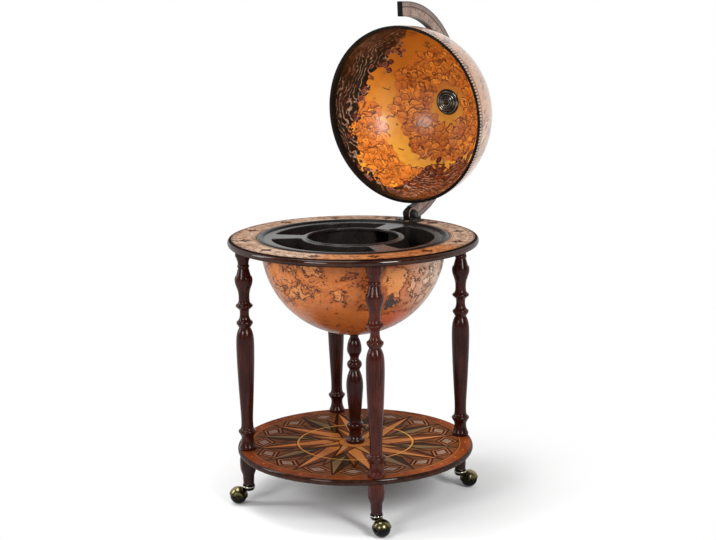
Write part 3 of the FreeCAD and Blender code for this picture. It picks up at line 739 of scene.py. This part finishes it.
# %% Sky, clouds, birds and hills
orange_puff = (rgb(0.98, 0.345, 0.042), rgb(0.70, 0.180, 0.018))
brown_puff = (rgb(0.80, 0.250, 0.034), rgb(0.50, 0.120, 0.016))
puffs = ((5.2, (0.7, 4.2, 1.1), brown_puff), (5.9, (3.9, 1.4, 2.6), orange_puff),
         (6.6, (1.3, 6.2, 4.7), brown_puff), (7.4, (5.8, 2.9, 0.3), orange_puff),
         (8.6, (2.2, 0.8, 7.4), brown_puff))


def sky_and_hills(sphere):
    late = soft_step(sphere.xyz()[1] + (noise(sphere, 1.3, 2.0) - 0.5) * 0.8, -0.55, 0.45)
    sky = mix(rgb(0.56, 0.165, 0.014), rgb(0.80, 0.360, 0.038), late)
    haze = soft_step(noise(sphere, 7.0, 4.0, 0.6), 0.48, 0.70)
    sky = multiply(sky, rgb(0.84, 0.68, 0.50), haze * 0.5)
    colour = mix(sky, rgb(0.64, 0.170, 0.022), cloud_place(sphere) * 0.9)
    for scale, shift, tones in puffs:
        colour = puff_layer(colour, sphere, scale, shift, *tones)
    colour = bird_layer(colour, sphere, 5.0, (2.9, 5.1, 0.9))
    rise = rise_of(sphere)
    below = skyline_of(sphere) - rise
    colour = mix(colour, ground(sphere, rise, below), soft_step(below, -0.006, 0.006))
    colour = crown_layer(colour, sphere, 12.0, (0.4, 2.7, 5.5), 0.12, rgb(0.022, 0.008, 0.006))
    return crown_layer(colour, sphere, 15.0, (4.4, 0.2, 3.1), 0.08, rgb(0.36, 0.19, 0.12))


print("sky with", len(puffs), "layers of puffs")

# %% [markdown]
# ## The dome, inside and out
# The lid is one shell with two pictures. Outside it carries on the map of the bowl in paler colours,
# with a fine scale along the rim. The distance from the middle of the globe says which face a point is
# on. Only the outside has a thick coat of gloss lacquer.

# %% The dome's two faces
dome_centre_closed_mm = (0.0, 0.0, 639.5)
rim_scale_steps = 180
dome_ink = rgb(0.070, 0.030, 0.017)


def dome_map(sphere):
    sea, deep, land = rgb(0.50, 0.275, 0.155), rgb(0.40, 0.205, 0.110), rgb(0.55, 0.350, 0.225)
    printed, marks = old_map(sphere, sea, deep, land, dome_ink, (7.4, 2.2, 1.3))
    printed = mix(printed, dome_ink, net_lines(sphere, 0.012) * 0.25)
    height = sphere.xyz()[2]
    dash = saw(around_of(sphere) * (rim_scale_steps / math.tau) + 0.5)
    scale = soft_step(dash, -0.04, 0.04) * line(height, 0.029, 0.026, 0.002)
    border = line(height, 0.048, 0.008, 0.0015) + line(height, 0.062, 0.004, 0.0015)
    return mix(printed, dome_ink, strongest(scale, border)), marks


def dome_print():
    material, where = start_finish("sky_inside_map_outside")
    sphere = sphere_place(closed_place(where), dome_centre_closed_mm)
    outside = soft_step(sphere.vector("LENGTH", out=1), 0.987, 0.993)
    printed, marks = dome_map(sphere)
    colour = mix(sky_and_hills(sphere), printed, outside)
    roughness = soft_step(noise(where, 0.05, 4.0), 0.3, 0.7, 0.30, 0.38)
    return finish(material, colour, roughness, marks * outside, 0.00003, outside * 0.80 + 0.10,
                  Specular_IOR_Level=0.30, Coat_Roughness=0.09)


paint(dome_print(), "dome_shell")

# %% [markdown]
# ## Black-brown lacquer
# The tray, the floor of the bowl, the hoop inside the ring, the rest block of the lid and the spacer
# at the pole are nearly black. A little brown and a faint unevenness in the shine keep them from
# looking like holes in the picture.

# %% Tray, hoop and rest block
rim_black = (rgb(0.0045, 0.0035, 0.0030), rgb(0.009, 0.0066, 0.0052))


def lacquer_swirl(where, dark, light):
    return mix(dark, light, soft_step(noise(where, 0.03, 4.0, 0.6, 0.4), 0.35, 0.7))


def black_lacquer(name, tones, roughness, shine):
    material, where = start_finish(name)
    dust = noise(where, 0.6, 3.0, 0.6)
    dull = soft_step(dust, 0.35, 0.75, roughness, roughness + 0.08)
    return finish(material, lacquer_swirl(where, *tones), dull, dust, Specular_IOR_Level=shine)


tray_black = (rgb(0.0085, 0.0068, 0.0060), rgb(0.016, 0.012, 0.010))
paint(black_lacquer("tray_gloss", tray_black, 0.24, 0.28), "serving_tray", "bottle_floor")
paint(black_lacquer("rim_gloss", rim_black, 0.24, 0.08), "rim_hoop", "lid_rest", "pole_spacer")

# %% [markdown]
# ## The rim of the dome
# A dark band closes the dome's rim. Its outer lip shows as a thin line of pale and brown teeth, in
# step with the scale printed beside it. Only points as far out as the globe's own surface lie on the
# lip, so the radius picks them out.

# %% Black rim band with a toothed lip
lip_mm = (globe_radius_mm - 0.40, globe_radius_mm - 0.25)


def rim_band_finish():
    material, where = start_finish("rim_with_scale")
    x, y = closed_place(where).vector("SUBTRACT", dome_centre_closed_mm).xyz()[:2]
    teeth = soft_step(step_share(angle_of(y, x), rim_scale_steps), -0.05, 0.05)
    toothed = mix(rgb(0.055, 0.030, 0.020), rgb(0.40, 0.30, 0.235), teeth)
    colour = mix(lacquer_swirl(where, *rim_black), toothed, soft_step(radius_of(x, y), *lip_mm))
    swirl = noise(where, 0.03, 4.0, 0.6, 0.4)
    roughness = soft_step(swirl, 0.35, 0.75, 0.24, 0.32)
    return finish(material, colour, roughness, swirl, Specular_IOR_Level=0.08)


paint(rim_band_finish(), "dome_rim_band")

# %% [markdown]
# ## The scale on the meridian arc
# The arc's sides carry a scale of degrees: rails along the board, a short tick for every second degree,
# a long one for every tenth, and a small ring between the long ones. A point's distance from the arc's
# centre says where it is across the board, and its angle says where it is along the scale.

# %% Rails, ticks and rings
arc_inner_mm = 231.8
arc_outer_mm = 267.4
arc_middle_mm = (arc_inner_mm + arc_outer_mm) / 2
arc_rails = ((arc_middle_mm + 5.2, 3.6, 0.8, 0.72), (arc_middle_mm + 10.8, 0.6, 0.3, 0.6),
             (arc_inner_mm + 3.0, 0.7, 0.3, 0.8), (arc_outer_mm - 2.4, 0.9, 0.3, 0.85))


def arc_ink(where, out, angle):
    rails = strongest(*[line(out, place, width, soft) * share for place, width, soft, share in arc_rails])
    twos = saw(angle * (180 / math.pi) / 2)
    tens = saw(angle * (180 / math.pi) / 10)
    ticks = soft_step(abs(twos), 0.14, 0.09) * line(out, arc_outer_mm - 4.6, 3.0)
    ticks = strongest(ticks, soft_step(abs(tens), 0.032, 0.022) * line(out, arc_middle_mm + 2.0, 10.0))
    bloom = radius_of(tens * math.radians(10) * arc_middle_mm - 21.5, out - arc_middle_mm + 7.5)
    bloom = strongest(line(bloom, 4.4, 1.6), soft_step(bloom, 2.0, 1.5))
    flecks = soft_step(noise(where, 0.16, 2.0, 0.7), 0.60, 0.66)
    return strongest(rails, ticks * 0.75, bloom * 0.7, flecks * 0.6).math("MINIMUM", 0.92)


print("arc", round(arc_outer_mm - arc_inner_mm, 1), "mm wide with", len(arc_rails), "rails")

# %% [markdown]
# ## The meridian arc
# The arc is a board whose two flat sides carry the printed paper, and whose edges are black. In the
# lid's closed position it lies in the plane x = 0, so the flat sides are where x is half the board's
# thickness. The outer strip of the paper is greyer, as if it were a second sheet.

# %% Printed sides, black edges
arc_centre_mm = (0.0, -4.2, 639.5)
arc_half_mm = 7.5


def arc_print():
    material, where = start_finish("printed_arc")
    x, y, z = closed_place(where).vector("SUBTRACT", arc_centre_mm).xyz()
    out = radius_of(y, z)
    flat = soft_step(abs(x), arc_half_mm - 0.12, arc_half_mm - 0.05)
    flat = flat * soft_step(out, arc_inner_mm + 0.3, arc_inner_mm + 0.9)
    flat = flat * soft_step(out, arc_outer_mm - 0.3, arc_outer_mm - 0.9)
    stain = soft_step(noise(where, 0.03, 5.0, 0.62), 0.33, 0.68)
    fibre = noise(where, 0.4, 3.0, 0.6)
    paper = mix(rgb(0.26, 0.180, 0.150), rgb(0.40, 0.300, 0.255), stain)
    paper = multiply(paper, rgb(0.70, 0.60, 0.54), soft_step(fibre, 0.50, 0.72) * 0.6)
    outer_half = soft_step(out, arc_middle_mm + 7.5, arc_middle_mm + 8.5)
    paper = mix(paper, rgb(0.235, 0.205, 0.185), outer_half * 0.75)
    printed = mix(paper, rgb(0.060, 0.032, 0.024), arc_ink(where, out, angle_of(z, y)))
    colour = mix(rgb(0.007, 0.0060, 0.0052), printed, flat)
    return finish(material, colour, soft_step(fibre, 0.3, 0.7, 0.28, 0.36), fibre, Specular_IOR_Level=0.06)


paint(arc_print(), "meridian_arc")

# %% [markdown]
# ## The field of the shelf
# The lower shelf is printed like inlaid veneer: a red-brown border, a streaked field, and a ring of
# small lozenges in frames. The sum of two distances, one along the ring and one across it, is constant
# on a lozenge, so its frames are steps of that sum, laid from the outside in.

# %% Border, veneer and lozenges
rose_border_mm = 250.0
lozenge_circle_mm = 219.0
lozenges = 16
lozenge_long_mm, lozenge_short_mm = 38.0, 25.0
shelf_ink = rgb(0.022, 0.008, 0.005)
frame_orange = rgb(0.27, 0.090, 0.028)


def shelf_field(where, radius, around, stain, fibre):
    veneer = noise(where.vector("MULTIPLY", (0.08, 1.0, 1.0)), 0.30, 4.0, 0.6)
    border = mix(rgb(0.115, 0.027, 0.009), rgb(0.235, 0.062, 0.017), soft_step(stain, 0.33, 0.68))
    field = mix(rgb(0.095, 0.034, 0.013), rgb(0.185, 0.066, 0.022), soft_step(veneer, 0.35, 0.70))
    colour = mix(border, field, soft_step(radius, rose_border_mm, rose_border_mm - 1.0))
    along = step_share(around, lozenges) * (math.tau / lozenges) * radius
    lozenge = abs(along) / lozenge_long_mm + abs(radius - lozenge_circle_mm) / lozenge_short_mm
    mauve = mix(rgb(0.170, 0.104, 0.076), rgb(0.270, 0.175, 0.130), soft_step(fibre, 0.35, 0.65))
    frames = ((1.20, shelf_ink), (0.98, frame_orange), (0.80, shelf_ink), (0.56, mauve))
    for size, tone in frames:
        colour = mix(colour, tone, soft_step(lozenge, size, size - 0.05))
    return colour


print("shelf field with", lozenges, "lozenges")

# %% [markdown]
# ## The compass rose
# In the middle of the shelf is a large compass rose, an old chart maker's pattern: four stars of long
# rays laid over each other, each ray half light and half dark, with a gold circle under the last one.
# Two stars are turned by half a step, so that their rays show between those of the others.

# %% Four stars and a gold circle
gold_circle_mm = 137.0
boss_mm = 40.0
half_step = math.pi / 16


def star_layer(colour, place, reach, waist, points, light, dark):
    star = star_mask(*place, reach, waist, points)
    ray = mix(light, dark, soft_step(ray_share(*place, points), -0.004, 0.004))
    colour = mix(colour, ray, soft_step(star, 0.35, -0.35))
    return mix(colour, shelf_ink, line(star, 0.0, 3.6, 0.6) * 0.92)


def compass_rose(colour, x, y, radius):
    turned = turn_pair(x, y, half_step)
    olive, coffee = rgb(0.165, 0.105, 0.048), rgb(0.036, 0.017, 0.009)
    colour = star_layer(colour, (x, y), 246.0, 142.0, 16, olive, coffee)
    russet, moss = rgb(0.215, 0.062, 0.017), rgb(0.066, 0.038, 0.016)
    colour = star_layer(colour, turned, 186.0, 104.0, 16, russet, moss)
    honey, chestnut = rgb(0.46, 0.165, 0.048), rgb(0.115, 0.036, 0.013)
    colour = star_layer(colour, (x, y), 244.0, 84.0, 8, honey, chestnut)
    colour = mix(colour, rgb(0.62, 0.30, 0.075), line(radius, gold_circle_mm, 3.4, 0.5) * 0.9)
    colour = mix(colour, shelf_ink, line(radius, gold_circle_mm + 4.0, 1.4) * 0.7)
    straw, cherry = rgb(0.42, 0.180, 0.052), rgb(0.165, 0.047, 0.013)
    colour = star_layer(colour, turned, 128.0, 46.0, 8, straw, cherry)
    colour = mix(colour, rgb(0.40, 0.140, 0.034), soft_step(radius, boss_mm, boss_mm - 1.0))
    return mix(colour, shelf_ink, line(radius, boss_mm, 1.4))


print("compass rose with a gold circle of", 2 * gold_circle_mm, "mm")

# %% [markdown]
# ## The whole shelf
# Field and rose get a dashed gold border and the dirt of years. The right side of the shelf is made
# brighter, a painted light, and the left side darker, a painted shade, each by one slanting step. The
# edge is the same brown moulding as on the ring.

# %% The printed shelf
shelf_top_mm = 135.0
shelf_paper_mm = 275.6
dash_circle_mm = 262.0
border_dashes = 28


def shelf_print():
    material, where = start_finish("compass_shelf")
    x, y, z = where.xyz()
    radius, around = radius_of(x, y), angle_of(y, x)
    stain, fibre = noise(where, 0.014, 5.0, 0.6), noise(where, 0.30, 4.0, 0.65)
    colour = compass_rose(shelf_field(where, radius, around, stain, fibre), x, y, radius)
    dashes = soft_step(abs(step_share(around, border_dashes)), 0.08, 0.06)
    dashes = dashes * line(radius, dash_circle_mm, 3.0, 0.5)
    gold = strongest(line(radius, rose_border_mm, 1.6, 0.4) * 0.35, dashes * 0.45)
    colour = mix(colour, rgb(0.50, 0.22, 0.07), gold)
    colour = mix(colour, shelf_ink, line(radius, rose_border_mm - 2.6, 1.2) * 0.8)
    colour = multiply(colour, rgb(0.72, 0.62, 0.55), soft_step(fibre, 0.5, 0.75) * 0.5)
    colour = multiply(colour, rgb(0.80, 0.70, 0.62), soft_step(stain, 0.5, 0.72) * 0.5)
    to_right = x * 0.82 + y * 0.57
    # Painted light: the right side of the shelf is brightened.
    colour = multiply(colour, rgb(1.80, 1.62, 1.38), soft_step(to_right, 60.0, 230.0))
    # Painted shade: the left side of the shelf is darkened.
    colour = multiply(colour, rgb(0.92, 0.80, 0.74), soft_step(to_right, 40.0, -160.0))
    on_paper = soft_step(z, shelf_top_mm - 0.35, shelf_top_mm - 0.15)
    on_paper = on_paper * soft_step(radius, shelf_paper_mm + 0.5, shelf_paper_mm)
    colour = mix(edge_brown(where), colour, on_paper)
    return finish(material, colour, soft_step(fibre, 0.3, 0.7, 0.28, 0.36), fibre, 0.00003,
                  (1 - on_paper) * 0.25 + 0.06, Specular_IOR_Level=0.0, Coat_Roughness=0.12)


paint(shelf_print(), "lower_shelf")

# %% [markdown]
# ## Metals
# The cap in the dome's pole is polished black, the bolts, nuts and screws in sight are a dark bronze,
# the hinge is painted black, and the fixings inside legs and pillar are plain steel. Real metal is never
# one even tone, so one function makes all of them from two colours and a patchy noise: the same patches
# that change the colour also dull the shine.

# %% Polished cap, bronze, black paint and steel


def metal(name, dark, light, smooth, dull, metallic):
    material, where = start_finish(name)
    bright = soft_step(noise(where, 0.05, 5.0, 0.62), 0.36, 0.62)
    scuff = noise(where, 0.9, 3.0, 0.6)
    roughness = smooth + (dull - smooth) * (1 - bright) + soft_step(scuff, 0.5, 0.8) * 0.08
    return finish(material, mix(dark, light, bright), roughness, scuff, Metallic=metallic)


cap_tones = (rgb(0.058, 0.055, 0.046), rgb(0.172, 0.166, 0.142))
bronze_tones = (rgb(0.032, 0.024, 0.017), rgb(0.115, 0.088, 0.058))
black_tones = (rgb(0.006, 0.0055, 0.005), rgb(0.014, 0.0125, 0.011))
steel_tones = (rgb(0.33, 0.33, 0.34), rgb(0.56, 0.56, 0.57))
cap_finish = metal("polished_black_cap", *cap_tones, 0.10, 0.16, 1.0)
bronze_finish = metal("dark_bronze", *bronze_tones, 0.26, 0.42, 0.9)
plate_finish = metal("black_hinge_paint", *black_tones, 0.30, 0.44, 0.3)
steel_finish = metal("plain_steel", *steel_tones, 0.26, 0.40, 1.0)
paint(cap_finish, "pole_cap")
paint(bronze_finish, "pole_bolt", "pole_nut", "hinge_nut", "hinge_screws", "bowl_bolt")
paint(plate_finish, "hinge_plate_left", "hinge_plate_right", "hinge_pin")
paint(steel_finish, "pillar_screw", "leg_studs", *at_corners("caster_socket"))

# %% [markdown]
# ## Casters
# A caster here is a hard black ball under a hood of antique brass, hung from a dark cup on the foot.
# The hood is made lighter towards its crown, a painted highlight, and darker towards its lower edge, a
# painted shade, and the cup is dark with age. The four casters stand at the same distance left, right,
# before and behind, so one formula finds every cup.

# %% Brass hoods with dark cups, and black balls
leg_place_mm = 258.5 * math.sqrt(0.5)
cup_radius_mm = 15.2
cup_under_mm = 32.5
ball_black = (rgb(0.0018, 0.0018, 0.0020), rgb(0.004, 0.004, 0.004))


def caster_brass():
    material, where = start_finish("antique_brass")
    x, y, z = where.xyz()
    from_stem = radius_of(abs(x) - leg_place_mm, abs(y) - leg_place_mm)
    cup = soft_step(from_stem, cup_radius_mm + 1.0, cup_radius_mm)
    cup = cup * soft_step(z, cup_under_mm, cup_under_mm + 1.5)
    highlight_wobble = soft_step(noise(where, 0.10, 4.0, 0.6), 0.35, 0.65)
    # Painted highlight and shade: the hood is lighter towards its top and darker lower down.
    crown = soft_step(z + highlight_wobble * 5.0, 24.0, 42.0)
    brass = mix(rgb(0.020, 0.018, 0.0085), rgb(0.230, 0.195, 0.095), crown)
    scuff = noise(where, 0.9, 3.0, 0.6)
    roughness = 0.30 - crown * 0.08 + soft_step(scuff, 0.5, 0.8) * 0.06
    return finish(material, mix(brass, rgb(0.020, 0.017, 0.011), cup), roughness, scuff, Metallic=1.0)


paint(caster_brass(), *at_corners("caster_hood", "caster_axle"))
paint(black_lacquer("ball_gloss", ball_black, 0.10, 0.10), *at_corners("caster_ball"))

# %% [markdown]
# ## Plain wood inside
# The dowels in the leg tops and the block inside the bowl are bare wood that nobody sees. They still
# get a grain, because the part can be taken to pieces on screen.

# %% Dowels and block
bare_dark, bare_light = rgb(0.22, 0.115, 0.050), rgb(0.34, 0.205, 0.100)


def plain_wood():
    material, where = start_finish("plain_wood")
    grain = noise(where.vector("MULTIPLY", (1.0, 0.1, 1.0)), 0.3, 4.0, 0.6)
    colour = mix(bare_dark, bare_light, soft_step(grain, 0.35, 0.65))
    return finish(material, colour, 0.62, grain, 0.00008)


paint(plain_wood(), "floor_block", "leg_dowels")

# %% [markdown]
# ## Tools for new pieces
# The next pieces are modelled as by hand. Each one gets its modifiers applied and its place written
# into its mesh, then a finish and a body to ride on. What repeats is modelled once, and every copy has
# its own mesh.

# %% Settle, dress and copy a piece
smooth_angle = math.radians(40)


def select_none():
    bpy.ops.object.select_all(action="DESELECT")


def settle(piece, name, *modifiers):
    piece.name = piece.data.name = name
    for kind, settings in modifiers:
        modifier = piece.modifiers.new(kind.lower(), kind)
        for key, value in settings.items():
            setattr(modifier, key, value)
        bpy.ops.object.modifier_apply(modifier=modifier.name)
    bpy.ops.object.transform_apply(location=True, rotation=True, scale=True)
    bpy.ops.object.shade_smooth_by_angle(angle=smooth_angle)


def dress(piece, material, body):
    piece.data.materials.clear()
    piece.data.materials.append(material)
    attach(piece, body)
    print(piece.name, "has", len(piece.data.polygons), "faces and rides on", body)


def own_copy(piece, name, change):
    made = piece.copy()
    made.data = piece.data.copy()
    made.data.transform(change)
    made.name = made.data.name = name
    bpy.context.scene.collection.objects.link(made)
    return made


print("edges under", round(math.degrees(smooth_angle)), "degrees are shaded smooth")

# %% [markdown]
# ## A bright band round each caster cup
# A thin half-round band is rolled round the cup of every caster, and it catches the light. An open
# cylinder is cut round its middle with Bisect, the new middle loop is scaled out to make the bulge, and
# Solidify and Subdivision Surface give it a wall and a soft edge. One band is modelled and copied.

# %% Caster bands
cup_belly = 0.0434
band_radius = 0.0147
band_height = 0.0034
band_bulge = 1.06
band_wall = 0.0010
band_sides = 72

select_none()
bpy.ops.mesh.primitive_cylinder_add(vertices=band_sides, radius=band_radius, depth=band_height,
                                    end_fill_type="NOTHING", location=(0, 0, cup_belly))
band = bpy.context.active_object
bpy.ops.object.mode_set(mode="EDIT")
bpy.ops.mesh.select_all(action="SELECT")
bpy.ops.mesh.bisect(plane_co=(0, 0, cup_belly), plane_no=(0, 0, 1))
bpy.ops.transform.resize(value=(band_bulge, band_bulge, 1.0), center_override=(0, 0, cup_belly))
bpy.ops.object.mode_set(mode="OBJECT")
settle(band, "caster_band", ("SOLIDIFY", {"thickness": band_wall, "offset": -1.0}),
       ("SUBSURF", {"levels": 2, "render_levels": 2}))
band_finish = metal("bright_band", rgb(0.42, 0.40, 0.34), rgb(0.66, 0.63, 0.54), 0.14, 0.22, 1.0)
leg_place = leg_place_mm / mm_per_metre
for corner in corners:
    x = leg_place if "right" in corner else -leg_place
    y = leg_place if "back" in corner else -leg_place
    dress(own_copy(band, "caster_band_" + corner, Matrix.Translation((x, y, 0))),
          band_finish, "caster_" + corner)
bpy.data.objects.remove(band)

# %% [markdown]
# ## The ribbed grip of the hinge knob
# The hinge pin ends in a knob that is turned by hand, so its side is ribbed. Forty flat faces round a
# cylinder are each inset and raised on their own, which gives forty ribs in one step. Cutting the ribs
# with a Boolean would need forty cutters.

# %% Knob grip
grip_ribs = 40
grip_radius = 0.00926
grip_length = 0.0054
grip_middle = 0.0147
grip_wall = 0.0008
rib_slope = 0.00022
rib_height = 0.0006
rib_rounding = 0.00008

select_none()
hinge = [value / mm_per_metre for value in hinge_mm]
bpy.ops.mesh.primitive_cylinder_add(vertices=grip_ribs, radius=grip_radius, depth=grip_length,
                                    end_fill_type="NOTHING", rotation=(0, math.pi / 2, 0),
                                    location=(grip_middle, hinge[1], hinge[2]))
grip = bpy.context.active_object
bpy.ops.object.mode_set(mode="EDIT")
bpy.ops.mesh.select_all(action="SELECT")
bpy.ops.mesh.inset(thickness=rib_slope, depth=rib_height, use_individual=True)
bpy.ops.object.mode_set(mode="OBJECT")
settle(grip, "hinge_knob_grip", ("SOLIDIFY", {"thickness": grip_wall, "offset": -1.0}),
       ("BEVEL", {"width": rib_rounding, "segments": 2}))
dress(grip, plate_finish, "stand")

# %% [markdown]
# ## A cross-head screw
# Six wood screws hold the hinge and its rest block. A screw head is the top of a ball: a sphere is cut
# off flat with Bisect, its flat underside is inset to the width of the shank, and the inner face is
# drawn down. The cross is a real recess, cut with two thin boxes, because a drawn one would vanish in
# a low light.

# %% Screw with a real recess
head_radius = 0.0042
head_height = 0.0018
head_ball = (head_radius ** 2 + head_height ** 2) / (2 * head_height)
head_sides = 32
shank_radius = 0.0020
recess_length, recess_width, recess_depth = 0.0044, 0.0009, 0.0011
plate_seat = 0.639
shank_length = plate_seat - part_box("hinge_screws")[0][2]

select_none()
bpy.ops.mesh.primitive_uv_sphere_add(segments=head_sides, ring_count=head_sides, radius=head_ball,
                                     location=(0, 0, head_height - head_ball))
screw = bpy.context.active_object
bpy.ops.object.mode_set(mode="EDIT")
bpy.ops.mesh.select_all(action="SELECT")
bpy.ops.mesh.bisect(plane_co=(0, 0, 0), plane_no=(0, 0, 1), use_fill=True, clear_inner=True)
bpy.ops.mesh.inset(thickness=head_radius - shank_radius)
bpy.ops.mesh.extrude_region_move(TRANSFORM_OT_translate={"value": (0, 0, -shank_length)})
bpy.ops.object.mode_set(mode="OBJECT")
bpy.ops.object.transform_apply(location=True, rotation=True, scale=True)
cutters = []
for turned in (0.0, math.pi / 2):
    select_none()
    bpy.ops.mesh.primitive_cube_add(size=1.0, location=(0, 0, head_height), rotation=(0, 0, turned),
                                    scale=(recess_length, recess_width, 2 * recess_depth))
    cutters.append(bpy.context.active_object)
select_none()
screw.select_set(True)
bpy.context.view_layer.objects.active = screw
cuts = [("BOOLEAN", {"object": cutter, "operation": "DIFFERENCE"}) for cutter in cutters]
settle(screw, "wood_screw", *cuts)
for cutter in cutters:
    bpy.data.objects.remove(cutter)
print("one screw has", len(screw.data.polygons), "faces")

# %% [markdown]
# ## The six screws of the hinge
# Two screws hold each hinge plate and two hold the rest block. Nobody turns screws to the same angle,
# so every copy is turned a little further than the one before. They are joined into one piece, which
# takes the place of the plain screws of the solid model.

# %% Screws in their places
screw_across = 0.0212
screw_step = 0.034 / 3
rest_seat = 0.6405
rest_middle, rest_step = hinge[1] + 0.027, 0.005
screw_turn = math.radians(37.0)

screw_places = [(side * screw_across, hinge[1] + step, plate_seat)
                for side in (-1, 1) for step in (-screw_step, screw_step)]
screw_places += [(0.0, rest_middle + step, rest_seat) for step in (-rest_step, rest_step)]
screws = []
for number, screw_place in enumerate(screw_places):
    change = Matrix.Translation(screw_place) @ Matrix.Rotation(screw_turn * number, 4, "Z")
    screws.append(own_copy(screw, "hinge_screw_" + str(number), change))
bpy.data.objects.remove(screw)
select_none()
for made in screws:
    made.select_set(True)
bpy.context.view_layer.objects.active = screws[0]
bpy.ops.object.join()
screws[0].name = screws[0].data.name = "cross_head_screws"
dress(screws[0], bronze_finish, "stand")
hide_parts("hinge_screws")

# %% [markdown]
# ## The studio floor
# The part stands on a white studio floor with a soft shadow. The floor is a large pale plane. Away
# from the part it also gives off light to the camera and to mirrors alone, so it reads as white there
# while the shadow stays.

# %% White floor that keeps the shadow
floor_size = 14.0
floor_level = -0.0005
shadow_reach, white_from = 0.22, 0.80


def seen_by(tree, *kinds):
    rays = tree.nodes.new("ShaderNodeLightPath")
    return strongest(*[Shade(tree, rays.outputs["Is " + kind + " Ray"]) for kind in kinds])


select_none()
bpy.ops.mesh.primitive_plane_add(size=floor_size, location=(0, 0, floor_level))
floor = bpy.context.active_object
floor.name = "studio_floor"
floor_material = bpy.data.materials.new("studio_floor")
floor_material.use_nodes = True
floor_tree = floor_material.node_tree
pale_paint = floor_tree.nodes["Principled BSDF"]
pale_paint.inputs["Base Color"].default_value = rgb(0.92, 0.92, 0.92)
pale_paint.inputs["Roughness"].default_value = 0.75
pale_paint.inputs["Specular IOR Level"].default_value = 0.15
seen = seen_by(floor_tree, "Camera", "Glossy", "Transmission")
far_out = seen.node("ShaderNodeTexCoord", out=3).vector("LENGTH", out=1)
white = seen * soft_step(far_out, shadow_reach, white_from)
glow = floor_tree.nodes.new("ShaderNodeEmission")
blend = floor_tree.nodes.new("ShaderNodeMixShader")
floor_tree.links.new(white.socket, blend.inputs[0])
floor_tree.links.new(pale_paint.outputs[0], blend.inputs[1])
floor_tree.links.new(glow.outputs[0], blend.inputs[2])
floor_tree.links.new(blend.outputs[0], floor_tree.nodes["Material Output"].inputs[0])
floor.data.materials.append(floor_material)
print("floor of", floor_size, "m, white from", white_from, "m on")

# %% [markdown]
# ## The room
# The world is white to the camera. As a mirror image it is bright behind the part and dim behind the
# camera, which gives lacquer and metal a dark side to reflect. For all other rays it is an even fill.

# %% White background, dim room behind the camera
fill_light = 0.42
dim_side = 0.12

world = bpy.data.worlds.new("studio")
bpy.context.scene.world = world
world.use_nodes = True
world_tree = world.node_tree
background = world_tree.nodes["Background"]
background.inputs["Color"].default_value = rgb(1, 1, 1)
from_camera = seen_by(world_tree, "Camera")
mirrored = seen_by(world_tree, "Glossy", "Transmission")
ahead = mirrored.node("ShaderNodeTexCoord").vector("DOT_PRODUCT", tuple(forward), out=1)
fill = mirrored * soft_step(ahead, -0.30, 0.20, dim_side, 1.0) + (1 - mirrored) * fill_light
world_tree.links.new(strongest(from_camera, fill).socket, background.inputs["Strength"])
print("fill light", fill_light)

# %% [markdown]
# ## Soft lamps
# Large soft lamps at both sides draw the long highlights on the turned legs, one above lights the
# printed tops, and one in front reaches into the dome. Each is given by its place, the point it is
# aimed at, its size and its power in watts.

# %% Four soft boxes
lamps = {"left_lamp": ((-2.6, -1.6, 1.9), (0, 0, 0.6), (0.8, 2.0), 42.0),
         "right_lamp": ((2.45, -1.05, 1.72), (0, 0, 0.7), (0.7, 1.1), 62.0),
         "top_lamp": ((-0.5, -0.3, 3.2), (0, 0, 0.5), (1.8, 1.4), 44.0),
         "front_lamp": ((0.1, -3.4, 1.75), (0, 0.2, 0.9), (1.1, 0.8), 52.0)}

for name, (lamp_place, aim, (width, height), watts) in lamps.items():
    data = bpy.data.lights.new(name, "AREA")
    data.shape = "RECTANGLE"
    data.size, data.size_y = width, height
    data.energy = watts
    lamp = bpy.data.objects.new(name, data)
    bpy.context.scene.collection.objects.link(lamp)
    direction = Vector(aim) - Vector(lamp_place)
    turn = direction.to_track_quat("-Z", "Y").to_matrix().to_4x4()
    lamp.matrix_world = Matrix.Translation(lamp_place) @ turn
    print(name, "with", watts, "W,", round(direction.length, 2), "m away")
bpy.context.scene.view_settings.view_transform = "Standard"

# %% [markdown]
